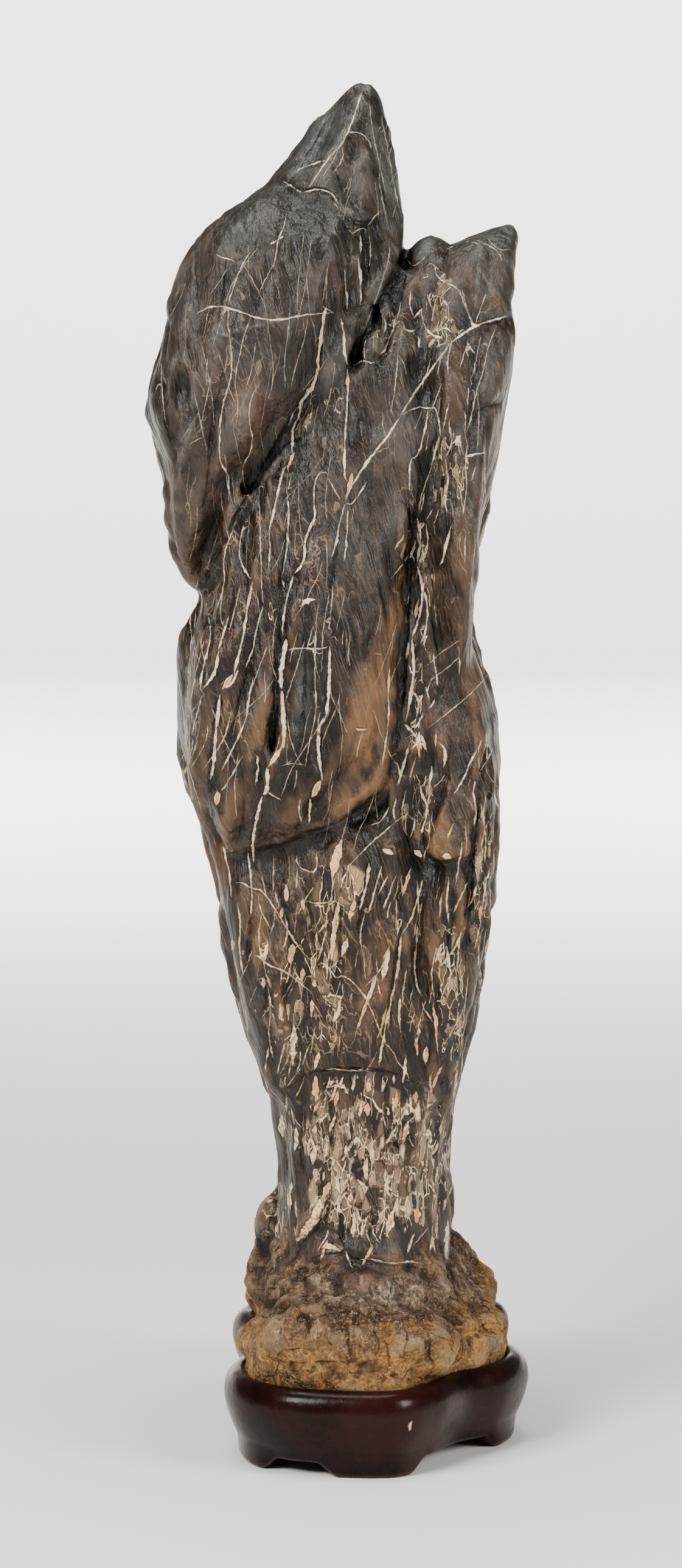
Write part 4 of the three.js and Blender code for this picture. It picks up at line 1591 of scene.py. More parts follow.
class Place(Value):
    """A node's output that is a place: a sum moves it, and a product stretches it."""

    def __add__(self, other: object) -> "Place":
        """Moves it."""
        return self.graph.vector(self, other, "ADD")

    def __sub__(self, other: object) -> "Place":
        """Moves it the other way."""
        return self.graph.vector(self, other, "SUBTRACT")

    def __mul__(self, other: object) -> "Place":
        """Stretches it."""
        return self.graph.vector(self, other, "SCALE" if isinstance(other, float) else "MULTIPLY")


class Graph:
    """A node tree that is built by short calls."""

    def __init__(self, tree: bpy.types.NodeTree) -> None:
        """Starts on a tree."""
        self.tree = tree

    def feed(self, node: bpy.types.Node, name: object, value: object) -> None:
        """Gives a node's input a value, or the output that feeds it.

        Args:
            node: the node.
            name: the input's name or number.
            value: the value, a colour as three numbers, or the output.
        """
        if isinstance(value, Value):
            self.tree.links.new(value.socket, node.inputs[name])
        else:
            flat = node.inputs[name].type == "RGBA"
            node.inputs[name].default_value = (*value, 1.0) if flat else value

    def add(self, kind: str, inputs: dict | None = None, **settings: object) -> bpy.types.Node:
        """Adds a node.

        Args:
            kind: the node's type, without ShaderNode.
            inputs: what each input is given.
            settings: the node's settings.

        Returns:
            The node.
        """
        node = self.tree.nodes.new("ShaderNode" + kind)
        for name, setting in settings.items():
            setattr(node, name, setting)
        for name, value in (inputs or {}).items():
            self.feed(node, name, value)
        return node

    def take(
        self, kind: str, inputs: dict | None = None, output: object = 0, **settings: object
    ) -> Value:
        """Adds a node and takes one of its outputs."""
        return Value(self, self.add(kind, inputs, **settings).outputs[output])

    def math(self, operation: str, *terms: object) -> Value:
        """Works out a number from others."""
        return self.take("Math", dict(enumerate(terms)), operation=operation)

    def vector(self, place: Value, other: object, operation: str) -> Place:
        """Works out a place from another and a place or number."""
        inputs = {0: place, 3 if operation == "SCALE" else 1: other}
        return Place(self, self.add("VectorMath", inputs, operation=operation).outputs[0])

    def parts(self, value: Value, kind: str = "XYZ") -> list[Value]:
        """Splits a place, or a colour where the kind is Color, into its three numbers."""
        node = self.add(f"Separate{kind}", {0: value})
        return [Value(self, output) for output in node.outputs]

    def noise(self, place: Place, size: float, detail: float, rough: float = 0.5) -> Value:
        """Noise of a size in millimetres."""
        inputs = {"Vector": place, "Scale": 1 / size, "Detail": detail, "Roughness": rough}
        return self.take("TexNoise", inputs)

    def ripple(self, place: Place, size: float, detail: float) -> Place:
        """Noise of a size in millimetres, as a place."""
        inputs = {"Vector": place, "Scale": 1 / size, "Detail": detail}
        return Place(self, self.add("TexNoise", inputs).outputs["Color"])

    def cells(self, place: Place, size: float, output: str, feature: str = "F1") -> Value:
        """Cells of a size in millimetres: their colour or distance."""
        inputs = {"Vector": place, "Scale": 1 / size}
        return self.take("TexVoronoi", inputs, output, feature=feature)

    def between(self, share: object, first: object, second: object) -> Value:
        """A number between two, by a share."""
        return self.take("Mix", {0: share, 2: first, 3: second}, data_type="FLOAT")

    def blend(self, share: object, under: object, over: object) -> Value:
        """Lays one colour over another by a share."""
        return self.take("Mix", {0: share, 6: under, 7: over}, 2, data_type="RGBA")

    def coats(self, paint: Value, *coats: tuple[object, object]) -> Value:
        """Lays coats of colour over one another.

        Args:
            paint: the colour under them.
            coats: each coat's share and colour.

        Returns:
            The colour.
        """
        for share, over in coats:
            paint = self.blend(share, paint, over)
        return paint

    def ramp(self, value: Value, *stops: Stop) -> Value:
        """Colours a value.

        Args:
            value: what is coloured.
            stops: each stop's place and colour.

        Returns:
            The colour.
        """
        node = self.add("ValToRGB", {0: value})
        while len(node.color_ramp.elements) < len(stops):
            node.color_ramp.elements.new(0.5)
        for element, (place, colour) in zip(node.color_ramp.elements, stops):
            element.position, element.color = place, (*colour, 1.0)
        return Value(self, node.outputs[0])

    def attribute(self, name: str) -> dict[str, Value]:
        """Reads one of the mesh's named attributes."""
        node = self.add("Attribute", attribute_name=name, attribute_type="GEOMETRY")
        return {output.name: Value(self, output) for output in node.outputs}

    def millimetres(self) -> Place:
        """The place on the object, in millimetres."""
        return self.vector(self.take("TexCoord", output="Object"), 1000.0, "SCALE")

    def turned(self, place: Place, angle: object, axis: str) -> Place:
        """Turns a place round an axis."""
        inputs = {"Vector": place, "Angle": angle}
        return Place(self, self.add("VectorRotate", inputs, rotation_type=axis).outputs[0])


@dataclass(frozen=True)
class Effect:
    """A node group for an effect that several finishes use."""

    tree: bpy.types.NodeTree

    def on(self, graph: Graph, *values: object) -> dict[str, Value]:
        """Places the group in a graph.

        Args:
            graph: the graph.
            values: the group's inputs in order.

        Returns:
            The group's outputs by name.
        """
        node = graph.add("Group", node_tree=self.tree)
        for index, value in enumerate(values):
            graph.feed(node, index, value)
        return {output.name: Value(graph, output) for output in node.outputs}

    @classmethod
    def make(
        cls, name: str, inputs: dict[str, float | None], rule: Callable[..., dict[str, Value]]
    ) -> "Effect":
        """Makes a node group.

        Args:
            name: its name.
            inputs: each input's first value, or None for a vector.
            rule: works out the outputs from the inputs.

        Returns:
            The effect.
        """
        tree = bpy.data.node_groups.new(name, "ShaderNodeTree")
        graph = Graph(tree)
        for label, value in inputs.items():
            kind = "NodeSocketVector" if value is None else "NodeSocketFloat"
            socket = tree.interface.new_socket(label, in_out="INPUT", socket_type=kind)
            if value is not None:
                socket.default_value = value
        given = tree.nodes.new("NodeGroupInput").outputs
        kinds = (Place if value is None else Value for value in inputs.values())
        results = rule(graph, *(kind(graph, given[label]) for kind, label in zip(kinds, inputs)))
        for label in results:
            tree.interface.new_socket(label, in_out="OUTPUT", socket_type="NodeSocketFloat")
        end = tree.nodes.new("NodeGroupOutput")
        for label, value in results.items():
            graph.feed(end, label, value)
        return cls(tree)


def thin_lines(
    g: Graph, line: Place, waver: Value, thickness: Value, mask: Value, warmth: Value, rim: Value
) -> dict[str, Value]:
    """A layer of thin lines, laid over the layers before it.

    Args:
        g: the group's graph.
        line: how far a place is from the line, half the line's width there, and its warmth.
        waver: how far the line strays.
        thickness: what its width is multiplied by.
        mask: where the lines before it are.
        warmth: how warm they are.
        rim: the rims beside them.

    Returns:
        The same three with this layer's.
    """
    side, width, warm = g.parts(line)
    distance = g.math("ABSOLUTE", side + waver)
    half = width * thickness
    edge = distance - half
    here = edge.rise(-0.12, 0.12, 1.0, 0.0) * half.rise(0.04, 0.42, 0.3, 1.0)
    core = g.math("DIVIDE", distance, g.math("MAXIMUM", half, 0.05)).rise(0.35, 0.75, 1.0, 0.0)
    beside = edge.rise(0.0, 0.75, 1.0, 0.0) * half.rise(0.05, 0.5)
    layers = {"Mask": (mask, here), "Warmth": (warmth, core * here * warm), "Rim": (rim, beside)}
    return {label: g.math("MAXIMUM", *pair) for label, pair in layers.items()}


def long_grain(
    g: Graph, vector: Place, width: Value, length: Value, detail: Value, line: Value
) -> dict[str, Value]:
    """Long streaks of grain along the vector's own Z.

    Args:
        g: the group's graph.
        vector: the place in millimetres.
        width: a streak's width.
        length: its length.
        detail: how many finer layers it has.
        line: how wide the threads are.

    Returns:
        The streaks, and the threads where they pass their middle.
    """
    across, along = g.math("DIVIDE", 1.0, width), g.math("DIVIDE", 1.0, length)
    place = vector * g.take("CombineXYZ", {0: across, 1: across, 2: along})
    streaks = g.take("TexNoise", {"Vector": place, "Scale": 1.0, "Detail": detail})
    threads = g.math("ABSOLUTE", streaks - 0.5).rise(0.0, line, 1.0, 0.0)
    return {"Streaks": streaks, "Threads": threads}


def edge_wear(g: Graph, wear: Place, roughen: Value) -> dict[str, Value]:
    """Rubbed edges and hollows. Dirt and painted shade darken the hollows in the finishes, and on
    the stone the edges also take painted highlights.

    Args:
        g: the group's graph.
        wear: how proud the surface is, finely and broadly.
        roughen: noise that makes them uneven.

    Returns:
        The edges and the hollows.
    """
    fine, broad, _ = g.parts(wear)
    uneven = fine * 0.8 + broad * 0.5 + (roughen - 0.5) * 0.5
    return {"Edges": uneven.rise(0.25, 0.8), "Hollows": uneven.rise(-0.15, -0.75)}


LINE = Effect.make(
    "thin_lines",
    {"Line": None, "Waver": 0.0, "Thickness": 1.0, "Mask": 0.0, "Warmth": 0.0, "Rim": 0.0},
    thin_lines,
)
GRAIN = Effect.make(
    "long_grain",
    {"Vector": None, "Width": 4.0, "Length": 60.0, "Detail": 4.0, "Line Width": 0.012},
    long_grain,
)
WEAR = Effect.make("edge_wear", {"Wear": None, "Roughen": 0.5}, edge_wear)


@dataclass(frozen=True)
class Finish:
    """What every finish has: how strongly it reflects."""

    name: str
    specular: float

    def start(self) -> tuple[bpy.types.Material, Graph]:
        """Starts the material.

        Returns:
            The material and its graph.
        """
        material = bpy.data.materials.new(self.name)
        material.use_nodes = True
        material.node_tree.nodes.clear()
        return material, Graph(material.node_tree)

    def end(self, g: Graph, paint: Value, roughness: Value, height: Value) -> None:
        """Ends the material.

        Args:
            g: its graph.
            paint: its colour.
            roughness: how rough it is.
            height: its relief in millimetres.
        """
        bump = g.take("Bump", {"Strength": 1.0, "Distance": MM, "Height": height})
        inputs = {"Base Color": paint, "Roughness": roughness, "Normal": bump}
        inputs["Specular IOR Level"] = self.specular
        shader = g.take("BsdfPrincipled", inputs)
        g.add("OutputMaterial", {0: shader})


@dataclass(frozen=True)
class Ground:
    """What the stone's finish is mixed from: places in millimetres, patches, noises and wear."""

    g: Graph
    place: Place
    flow: Place
    breccia: Value
    crust: Value
    tan: Value
    sheen: Value
    dark: Value
    rose: Value
    pale: Value
    hairlines: Value
    cloud: Value
    mottle: Value
    speck: Value
    wear: dict[str, Value]

    @classmethod
    def lay(cls, g: Graph) -> "Ground":
        """Reads the patches and makes the noises.

        Args:
            g: the material's graph.

        Returns:
            The ground.
        """
        place = g.millimetres()
        sway = (g.ripple(place, 16, 2.0) - (0.5, 0.5, 0.5)) * (4.5, 4.5, 0.0)
        flow = g.turned(place + sway, g.parts(place)[2] * TWIST, "Z_AXIS")
        first, last = g.attribute("patches_a"), g.attribute("patches_b")
        mottle = g.noise(place, 7.5, 6, 0.62)
        return cls(
            g, place, flow, *g.parts(first["Color"], "Color"), first["Alpha"],
            *g.parts(last["Color"], "Color"), last["Alpha"], g.noise(place, 34, 4), mottle,
            g.noise(place, 1.3, 4, 0.6), WEAR.on(g, g.attribute("wear")["Vector"], mottle),
        )


@dataclass(frozen=True)
class Soil:
    """The weathered foot: golden clay low down, greyish brown rock above it, with a pinkish grey
    drape and golden crystals in places."""

    clay: tuple[Stop, ...] = (
        (0.38, (0.04, 0.014, 0.004)), (0.44, (0.18, 0.08, 0.022)), (0.5, (0.33, 0.18, 0.062)),
        (0.56, (0.52, 0.295, 0.105)), (0.64, (0.74, 0.48, 0.2)),
    )
    rock: tuple[Stop, ...] = (
        (0.38, (0.016, 0.008, 0.004)), (0.44, (0.07, 0.038, 0.019)), (0.5, (0.165, 0.096, 0.052)),
        (0.56, (0.3, 0.19, 0.108)), (0.64, (0.56, 0.42, 0.27)),
    )
    drape: tuple[Stop, ...] = (
        (0.4, (0.045, 0.036, 0.03)), (0.48, (0.19, 0.125, 0.092)), (0.54, (0.36, 0.268, 0.21)),
        (0.59, (0.72, 0.62, 0.52)),
    )
    gold: tuple[Stop, ...] = (
        (0.36, (0.16, 0.08, 0.025)), (0.58, (0.5, 0.31, 0.11)), (0.7, (0.82, 0.64, 0.34)),
    )
    rust: Colour = (0.44, 0.2, 0.045)
    umber: Colour = (0.12, 0.078, 0.038)
    pit: Colour = (0.026, 0.015, 0.008)
    sand: Colour = (0.66, 0.5, 0.29)
    dark_and_shade_colour: Colour = (0.014, 0.01, 0.008)
    gap: Colour = (0.022, 0.013, 0.008)
    dirt_and_shade: Colour = (0.024, 0.015, 0.01)
    straw: Colour = (0.46, 0.34, 0.2)

    def mix(self, ground: Ground) -> tuple[Value, Value]:
        """Mixes its colour and its relief.

        Args:
            ground: what the finish is mixed from.

        Returns:
            The colour, and the height in millimetres.
        """
        g, place = ground.g, ground.place
        clods, grit = g.noise(place, 13, 8, 0.68), g.noise(place, 2.4, 6, 0.72)
        grain = g.noise(place, 0.9, 3, 0.7)
        bent = place + g.ripple(place, 5.0, 4.0) * 5.0
        crack = g.cells(bent, 15, "Distance", "DISTANCE_TO_EDGE").rise(0.006, 0.026, 1.0, 0.0)
        crack = crack * ground.mottle.rise(0.49, 0.55)
        tone, step, _ = g.parts(g.cells(bent, 8, "Color"), "Color")
        chips = g.cells(place + g.ripple(place, 2.5, 3.0) * 1.1, 3.2, "Color")
        chip, facet, _ = g.parts(chips, "Color")
        runs = g.noise(bent * (1.0, 1.0, 0.3), 2.6, 6, 0.7)
        mixed = clods * 0.42 + grit * 0.36 + tone * 0.08 + chip * 0.09
        drape = g.ramp(runs * 0.7 + chip * 0.1 + grit * 0.2, *self.drape)
        draped = ground.rose * clods.rise(0.36, 0.48, 0.3, 0.95)
        level = g.parts(place)[2] + (clods - 0.5) * 46.0
        soil = g.coats(
            g.ramp(mixed, *self.clay),
            (facet.rise(0.66, 0.69, 0.0, 0.5), self.rust),
            (step.rise(0.64, 0.67, 0.0, 0.45), self.umber),
            (level.rise(43.0, 49.0), g.blend(draped, g.ramp(mixed, *self.rock), drape)),
            (grain.rise(0.44, 0.36, 0.0, 0.65), self.pit),
            (grain.rise(0.56, 0.64, 0.0, 0.45), self.sand),
            (ground.pale * grit.rise(0.4, 0.56, 0.3, 0.95), g.ramp(grit, *self.gold)),
            # Darker rock, and painted shade in the hollows of the foot.
            (ground.dark * 0.9, self.dark_and_shade_colour),
            (crack * 0.8, self.gap),
            # Dirt and painted shade in the hollows.
            (ground.wear["Hollows"] * 0.7, self.dirt_and_shade),
            (ground.wear["Edges"] * 0.3, self.straw),
        )
        crumbs = g.cells(bent, 8, "Distance")
        relief = clods * 4.5 + grit * 2.8 + crumbs * -0.9 + crack * -1.0 + step * 0.5
        return soil, relief + facet * 0.5 + grain * 0.7 + runs * ground.rose * 2.4


@dataclass(frozen=True)
class StoneFinish(Finish):
    """Hand-polished dark limestone: mottled and silky, with cream and orange calcite, and a
    weathered ochre crust at the foot."""

    vein_layers: int
    crease_layers: int
    crease_shade: Colour = (0.002, 0.0016, 0.0014)
    black: Colour = (0.0024, 0.0018, 0.0015)
    dirt_and_shade: Colour = (0.003, 0.0025, 0.0022)
    brown: Colour = (0.011, 0.0064, 0.004)
    cool: Colour = (0.021, 0.019, 0.0175)
    grey: Colour = (0.032, 0.0208, 0.0132)
    light: Colour = (0.095, 0.061, 0.037)
    # The grey of the painted highlights on the edges high up.
    rubbed: Colour = (0.095, 0.097, 0.092)
    silk_highlight: Colour = (0.19, 0.13, 0.083)
    highlight_grey: Colour = (0.2, 0.205, 0.195)
    tan: Colour = (0.25, 0.13, 0.056)
    fawn: Colour = (0.2, 0.135, 0.082)
    slate: Colour = (0.07, 0.076, 0.074)
    rose: Colour = (0.2, 0.108, 0.078)
    ash: Colour = (0.52, 0.43, 0.31)
    dull: Colour = (0.4, 0.265, 0.14)
    cream: Colour = (0.88, 0.69, 0.42)
    white: Colour = (0.88, 0.77, 0.59)
    orange: Colour = (0.66, 0.23, 0.045)

    def make(self) -> bpy.types.Material:
        """Builds the material.

        Returns:
            The material.
        """
        material, g = self.start()
        ground = Ground.lay(g)
        flow, mottle, speck, wear = ground.flow, ground.mottle, ground.speck, ground.wear
        streak = GRAIN.on(g, flow, 3.2, 46.0, 5.0, 0.011)
        streaks = streak["Streaks"]
        fibres = GRAIN.on(g, flow, 0.62, 34.0, 3.0, 0.03)["Streaks"]
        hair = GRAIN.on(g, flow, 9.0, 70.0, 3.0, 0.009)["Threads"]
        level = g.parts(ground.place)[2]
        high = level.rise(280.0, 350.0)

        # The dark patches, darker rock and painted shade, lower the tone.
        body = ground.cloud * 0.42 + mottle * 0.28 + streaks * 0.30 - ground.dark * 0.09
        furry = g.between(high, 0.55, 0.14)
        # Painted highlights: lighter streaks along the fibres, fainter high up.
        silk_highlight = fibres.rise(0.52, 0.72, 0.0, 0.55) * body.rise(0.42, 0.56, 0.2, 1.0)
        stops = ((0.4, self.black), (0.49, self.brown), (0.57, self.grey), (0.68, self.light))
        paint = g.coats(
            g.ramp(body, *stops),
            (ground.tan * streaks.rise(0.25, 0.68, 0.16, 0.62), self.tan),
            # Slate-grey tone with a painted sheen, where facets face the lights.
            (ground.sheen * mottle.rise(0.34, 0.62, 0.35, 0.9), self.slate),
            (ground.rose * mottle.rise(0.36, 0.66, 0.05, 0.6), self.rose),
            (silk_highlight * furry, self.silk_highlight),
            (fibres.rise(0.5, 0.3, 0.0, 0.45) * furry, self.black),
        )
        paint = self.broken_rock(ground, paint)
        ashen = ground.pale * speck.rise(0.46, 0.54, 0.02, 0.42) * mottle.rise(0.47, 0.55)

        creases = self.lines(ground, "creases", self.crease_layers, 0.8)
        edges = self.lines(ground, "crests", self.crease_layers, 0.8)
        veins = self.lines(ground, "veins", self.vein_layers, 0.9, g.between(high, 1.0, 0.72))
        mask, rim = veins["Mask"], veins["Rim"]
        # The creases' mask: painted shade in the creases, and a groove in the relief.
        split = creases["Mask"] * mottle.rise(0.4, 0.54, 0.1, 0.9)
        thin = g.math("MAXIMUM", streak["Threads"] * 0.5, hair) * speck.rise(0.3, 0.55, 0.2, 0.8)
        patchy = ground.cloud.rise(0.38, 0.58, 0.15, 1.0) * ground.hairlines
        thin = g.math("MAXIMUM", thin, self.net(ground)) * patchy
        # Painted highlights along the crests: light brown low down, pale grey high up.
        crest_highlight = edges["Rim"] * fibres.rise(0.35, 0.6, 0.05, 0.4)
        paint = g.coats(
            paint,
            (ashen, self.ash),
            (high * 0.28, self.cool),
            (thin, self.dull),
            # Dark rims beside the veins: dark outlines, and painted shadow that makes the veins
            # look raised.
            (rim * 0.6, self.black),
            # Painted shade beside the creases.
            (creases["Rim"] * mottle.rise(0.38, 0.56, 0.05, 0.6), self.black),
            # Painted shade in the creases.
            (split, self.crease_shade),
            # Painted highlights on the crests.
            (crest_highlight, g.blend(high, self.light, self.highlight_grey)),
            # Rubbed edges: tan wear low down, and painted grey highlights high up.
            (wear["Edges"] * 0.24, g.blend(high, self.tan, self.rubbed)),
            # Dirt and painted shade in the hollows.
            (wear["Hollows"] * 0.75, self.dirt_and_shade),
            (mask * speck.rise(0.24, 0.44, 0.6, 1.0), self.calcite(ground, level, veins["Warmth"])),
        )
        soil, soil_height = Soil().mix(ground)
        crust = ground.crust
        # The foot's colour, with painted shade in its creases.
        paint = g.coats(paint, (crust, soil), (crust * (split * 0.95), self.brown))

        gloss = body.rise(0.4, 0.66, 0.34, 0.5) + mask * 0.08 + ground.breccia * 0.08
        height = streaks * 1.7 + mottle * 0.8 + fibres * 0.16 + speck * 0.06 + mask * 0.55
        height = height + rim * -0.25 + thin * 0.10 + split * -0.5 + creases["Rim"] * -0.35
        height = g.between(crust, height + edges["Rim"] * 0.3, soil_height - split)
        self.end(g, paint, g.between(crust, gloss, 0.9), height)
        return material

    def broken_rock(self, ground: Ground, paint: Value) -> Value:
        """Lays splinters and crumbs of healed rock over a colour, with dark and pale joints.

        Args:
            ground: what the finish is mixed from.
            paint: the colour under them.

        Returns:
            The colour.
        """
        g = ground.g
        ripple, strong = g.ripple(ground.place, 5.0, 3.0), ground.breccia.rise(0.1, 0.8)
        splinters = (
            (0.0, self.black), (0.25, self.brown), (0.42, self.grey), (0.6, self.light),
            (0.7, self.brown), (0.9, self.fawn), (1.0, self.dull),
        )
        crumbs = (
            (0.0, self.black), (0.28, self.brown), (0.46, self.light), (0.7, self.fawn),
            (0.88, self.dull), (1.0, self.cream),
        )
        # Size in millimetres, squeeze along the stone, sway, share of rock, and width of joints.
        for size, squeeze, sway, share, joint, colours in (
            (4.1, 0.33, 1.9, 0.8, 0.065, splinters), (1.7, 0.38, 1.0, 0.38, 0.11, crumbs),
        ):
            here = ground.place * (1.0, 1.0, squeeze) + ripple * sway
            edge = g.cells(here, size, "Distance", "DISTANCE_TO_EDGE")
            shade, chance, _ = g.parts(g.cells(here, size, "Color"), "Color")
            where = (strong * share - chance).rise(-0.03, 0.05)
            fill = edge.rise(joint * 0.4, joint * 0.8, 1.0, 0.0) * ground.mottle.rise(0.44, 0.54)
            paint = g.coats(
                paint,
                (where * 0.9, g.ramp(shade + ground.pale * 0.12, *colours)),
                (edge.rise(joint, joint * 1.9, 1.0, 0.0) * where * 0.7, self.black),
                (fill * where, g.blend(ground.speck.rise(0.3, 0.6), self.dull, self.cream)),
            )
        return paint

    def calcite(self, ground: Ground, level: Value, warmth: Value) -> Value:
        """Colours the veins: whiter high up, aged low down, and orange at some cores.

        Args:
            ground: what the finish is mixed from.
            level: the height in millimetres.
            warmth: where the cores are orange.

        Returns:
            The colour.
        """
        g = ground.g
        white = g.blend(level.rise(190.0, 270.0), self.cream, self.white)
        aged = g.blend(ground.mottle.rise(0.42, 0.58), self.fawn, self.dull)
        age = ground.speck.rise(0.57, 0.41) * g.between(level.rise(120.0, 210.0), 0.95, 0.5)
        return g.coats(white, (age, aged), (warmth, self.orange))

    def lines(
        self, ground: Ground, name: str, layers: int, wobble: float, weight: object = 1.0
    ) -> dict[str, Value]:
        """Lays layers of lines over one another.

        Args:
            ground: what the finish is mixed from.
            name: the start of the layers' attribute names.
            layers: how many there are.
            wobble: how far the lines stray, in millimetres.
            weight: what their thickness is multiplied by.

        Returns:
            Where the lines are, how warm they are, and the rims beside them.
        """
        g = ground.g
        waver = (g.noise(ground.place, 1.9, 3, 0.6) - 0.5) * wobble
        thickness = g.noise(ground.place, 3.4, 2).rise(0.25, 0.75, 0.5, 1.35) * weight
        found = {"Mask": 0.0, "Warmth": 0.0, "Rim": 0.0}
        for number in range(layers):
            line = g.attribute(f"{name}_{number}")["Vector"]
            found = LINE.on(g, line, waver, thickness, *found.values())
        return found

    def net(self, ground: Ground) -> Value:
        """A net of healed hairline cracks.

        Args:
            ground: what the finish is mixed from.

        Returns:
            Where the hairlines are.
        """
        g, flow = ground.g, ground.flow
        bent = flow * (1.0, 1.0, 0.45) + g.ripple(flow, 9, 4.0) * 14.0
        line = g.cells(bent, 13, "Distance", "DISTANCE_TO_EDGE").rise(0.004, 0.018, 1.0, 0.0)
        return line * g.noise(flow, 12, 2).rise(0.46, 0.58, 0.0, 0.8)


@dataclass(frozen=True)
class LacquerFinish(Finish):
    """Very dark red-brown lacquer over fine-grained wood, rubbed at its edges and chipped."""

    deep: Colour = (0.0036, 0.0009, 0.0008)
    red: Colour = (0.016, 0.0034, 0.003)
    worn: Colour = (0.12, 0.052, 0.03)
    bare: Colour = (0.52, 0.41, 0.27)
    dirt_and_shade: Colour = (0.003, 0.002, 0.002)

    def make(self) -> bpy.types.Material:
        """Builds the material.

        Returns:
            The material.
        """
        material, g = self.start()
        place = g.millimetres()
        cloud, speck = g.noise(place, 30, 3), g.noise(place, 1.6, 4, 0.6)
        grain = GRAIN.on(g, g.turned(place, math.radians(82), "X_AXIS"), 2.2, 55.0, 5.0, 0.03)
        wear = WEAR.on(g, g.attribute("wear")["Vector"], speck)
        body = cloud * 0.8 + grain["Streaks"] * 0.25
        chips = LINE.on(g, g.attribute("chips")["Vector"], speck - 0.5, 1.0, 0.0, 0.0, 0.0)
        paint = g.coats(
            g.blend(body.rise(0.42, 0.68), self.deep, self.red),
            (grain["Threads"] * 0.25, self.deep),
            (wear["Edges"] * 0.16, self.worn),
            # Dirt and painted shade in the hollows.
            (wear["Hollows"] * 0.5, self.dirt_and_shade),
            (chips["Mask"], g.blend(chips["Warmth"], self.worn, self.bare)),
        )
        roughness = g.noise(place, 6, 4).rise(0.3, 0.7, 0.2, 0.3) + chips["Mask"] * 0.4
        height = grain["Streaks"] * 0.10 + chips["Mask"] * -0.25 + cloud * 0.5
        self.end(g, paint, roughness, height)
        return material


# ---- the stand


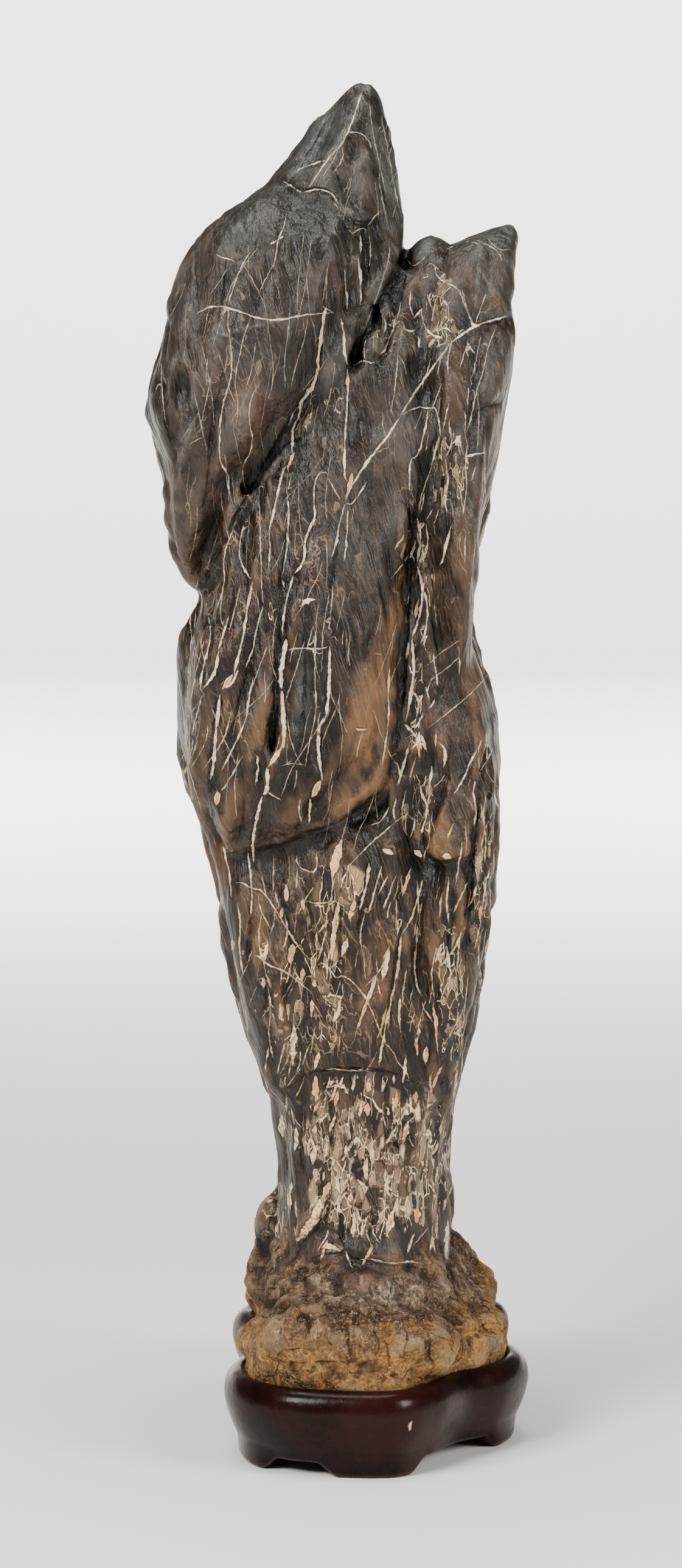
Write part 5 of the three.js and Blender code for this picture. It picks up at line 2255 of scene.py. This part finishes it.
@dataclass
class Stand(Surface):
    """The low lobed stand, with a rolled rim, a recess for the stone and six short feet. Lengths
    are in millimetres. The profile and the lower edge list heights, the latter from the apron's
    edge up, with distances in from the plan. The marks are in the picture's units."""

    sides: int = 264
    underside: float = 6.5
    underside_inset: float = 16.6
    apron_edge: float = 4.7
    foot_length: float = 29.0
    foot_flare: float = 9.0
    plan: str = (
        "-12,-82 8,-81.5 21,-69 31,-51 45,-37 52.2,-17 48,6 41,28 43,50 48.5,68 38,88 12,94.5"
        " -18,91 -42,78 -51,56 -45,30 -42.5,8 -47.5,-14 -51.7,-37 -47,-61 -33,-76"
    )
    feet: str = "1,-81 50,-20 46,72 2,95 -50,62 -47,-52"
    profile: str = (
        "18,7.8 27.9,7.6 28.8,7.3 29.3,6.6 29.5,5.7 29.45,4.7 29.05,3.6 28.4,2.6 27.5,1.7 26.2,0.9"
        " 24.4,0.35 22.4,0.05 20.4,0.05 18,0.5 15.2,1.2 12.2,2.3 9.6,3.4 7.9,4.3"
    )
    lower_edge: str = "1.9,4.95 1.1,5.3 0.4,5.8 0,6.6 0,14.6 0.5,15.3"
    marks: str = """
.75 1 677,2333 674,2342 673,2352
.3 .3 559,2300 562,2303 565,2304
.26 .3 535,2335 539,2337
.6 .2 702,2418 707,2415 712,2410
"""

    def outline(self) -> tuple[Array, Array]:
        """Draws the plan's curve through its points.

        Returns:
            Even places on it, and the way straight in from each.
        """
        knots = np.array(trace(self.plan))
        count = len(knots)
        fine = []
        for i in range(count):
            p0, p1, p2, p3 = (knots[(i + k) % count] for k in (-1, 0, 1, 2))
            pairs = ((p0, p1), (p1, p2), (p2, p3))
            t0, t1, t2 = (math.sqrt(np.linalg.norm(b - a)) for a, b in pairs)
            start = ((p1 - p0) / t0 - (p2 - p0) / (t0 + t1) + (p2 - p1) / t1) * t1
            end = ((p2 - p1) / t1 - (p3 - p1) / (t1 + t2) + (p3 - p2) / t2) * t1
            for t in np.arange(0, 1, 1 / 40):
                square, cube = t**2, t**3
                place = (2 * cube - 3 * square + 1) * p1 + (cube - 2 * square + t) * start
                fine.append(place + (3 * square - 2 * cube) * p2 + (cube - square) * end)
        fine = np.array(fine + [fine[0]])
        walked = np.concatenate([[0], np.cumsum(np.linalg.norm(np.diff(fine, axis=0), axis=1))])
        stops = np.linspace(0, walked[-1], self.sides, endpoint=False)
        places = np.stack([np.interp(stops, walked, fine[:, k]) for k in (0, 1)], 1)
        along = np.roll(places, -1, 0) - np.roll(places, 1, 0)
        along /= np.linalg.norm(along, axis=1)[:, None]
        return places, np.stack([-along[:, 1], along[:, 0]], 1)

    def levels(self, places: Array) -> list[tuple[Array, Array]]:
        """Lists the levels of the stand's side, from the recess over the rim to the underside.

        Args:
            places: the plan's places.

        Returns:
            For each level, the height and the distance in from the plan, at each place.
        """
        even, foot = np.ones(len(places)), np.zeros(len(places))
        for x, y in trace(self.feet):
            away = np.hypot(places[:, 0] - x, places[:, 1] - y) - self.foot_length / 2
            foot = np.maximum(foot, 1 - smoothstep(0, self.foot_flare, away))
        edge = self.apron_edge * (1 - foot)
        side = rounded(np.array(trace(self.profile)), 1)
        level = [(z * even, inset * even) for z, inset in side]
        level += [(edge + rise, inset * even) for rise, inset in trace(self.lower_edge)]
        return [*level, (self.underside * even, self.underside_inset * even)]

    def build(self) -> bpy.types.Object:
        """Makes the stand.

        Returns:
            The finished piece.
        """
        low, high = (np.array(corner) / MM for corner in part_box("stand"))
        places, inward = self.outline()
        shift = (low + high)[:2] / 2 - (places.min(0) + places.max(0)) / 2
        shape = bmesh.new()
        rings = []
        for height, inset in self.levels(places):
            flat = np.clip(places + inward * inset[:, None] + shift, low[:2], high[:2])
            ring = np.column_stack([flat, height])
            rings.append([shape.verts.new(Vector(place) * MM) for place in ring])
        for above, below in zip(rings, rings[1:]):
            for i in range(self.sides):
                shape.faces.new((above[i - 1], above[i], below[i], below[i - 1]))
        shape.faces.new(rings[0])
        shape.faces.new(rings[-1])
        bmesh.ops.recalc_face_normals(shape, faces=shape.faces[:])
        mesh = make_mesh(shape, "carved_stand")
        stand = show(mesh)
        self.read(mesh)
        self.mark()
        mesh.materials.append(LacquerFinish("dark_lacquered_wood", 0.13).make())
        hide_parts("stand")
        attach(stand, "root")
        return stand

    def mark(self) -> None:
        """Lays the chip, the scuffs and the wear on the lacquer."""
        sheets = (self.front_sheet(0.1),) * 2
        lines = [(0, self.traced(mark), mark) for mark in Vein.read(self.marks, swelling=True)]
        self.paint_lines("chips", lines, sheets)
        self.paint_wear()


# ---- the studio


@dataclass(frozen=True)
class Lamp:
    """A soft light: its name, place, aim, size and power in watts."""

    name: str
    place: Triple
    aim: Triple
    size: float
    power: float
    tint: Colour = (1.0, 0.955, 0.9)

    def hang(self) -> None:
        """Hangs the light."""
        data = bpy.data.lights.new(self.name, "AREA")
        data.shape, data.size, data.energy, data.color = "SQUARE", self.size, self.power, self.tint
        lamp = show(data)
        lamp.location = self.place
        way = Vector(self.aim) - Vector(self.place)
        lamp.rotation_euler = way.to_track_quat("-Z", "Y").to_euler()


@dataclass(frozen=True)
class Studio:
    """A pale floor that sweeps up far behind, and soft lights. Lengths are in metres."""

    half_size: float = 6.0
    bend_start: float = 4.2
    bend: float = 1.2
    stretch: float = 3.0
    roughness: float = 0.85
    tone: tuple[float, ...] = (0.82, 0.81, 0.795, 1.0)
    sky: tuple[float, ...] = (1.0, 0.965, 0.92, 1.0)
    sky_strength: float = 0.12
    lamps: tuple[Lamp, ...] = (
        Lamp("left_softbox", (-0.95, -1.05, 1.15), (0, 0, 0.22), 0.7, 47),
        Lamp("right_softbox", (1.25, -0.75, 0.75), (0, 0, 0.22), 0.6, 25),
        Lamp("top_softbox", (-0.1, 0.1, 1.8), (0, 0, 0), 1.0, 32),
        Lamp("left_wall_lamp", (-1.6, 2.0, 1.4), (0, 4.6, 0.2), 1.2, 290),
        Lamp("right_wall_lamp", (1.6, 2.0, 1.4), (0, 4.6, 0.2), 1.2, 290),
    )

    def build(self) -> None:
        """Lays the floor and hangs the lights."""
        shape = bmesh.new()
        bmesh.ops.create_grid(shape, x_segments=2, y_segments=40, size=self.half_size)
        for vert in shape.verts:
            past = vert.co.y - self.bend_start
            if past > 0:
                angle = min(past / self.bend, math.pi / 2)
                above = max(0.0, past - self.bend * math.pi / 2)
                vert.co.z = self.bend * (1 - math.cos(angle)) + above * self.stretch
                vert.co.y = self.bend_start + self.bend * math.sin(angle)
        floor = show(make_mesh(shape, "pale_floor"))
        material = bpy.data.materials.new("pale_floor")
        material.use_nodes = True
        shader = material.node_tree.nodes["Principled BSDF"]
        shader.inputs["Base Color"].default_value = self.tone
        shader.inputs["Roughness"].default_value = self.roughness
        floor.data.materials.append(material)
        world = bpy.data.worlds.new("soft_sky")
        world.use_nodes = True
        sky = world.node_tree.nodes["Background"]
        sky.inputs[0].default_value = self.sky
        sky.inputs[1].default_value = self.sky_strength
        bpy.context.scene.world = world
        for lamp in self.lamps:
            lamp.hang()


def main() -> None:
    """Builds the camera, the studio, the stand and the stone, and notes their sizes."""
    logging.basicConfig(level=logging.INFO, format="%(message)s")
    low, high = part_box("stand")
    centre = Vector(((low.x + high.x) / 2, (low.y + high.y) / 2, 0))
    view = Viewpoint(centre)
    view.make_camera()
    Studio().build()
    for sort, maker in (("stand", Stand(view, centre)), ("stone", Rock(view, centre))):
        piece = maker.build()
        LOG.info("%s: %s, %d faces", sort, piece.name, len(piece.data.polygons))


if __name__ == "__main__":
    main()
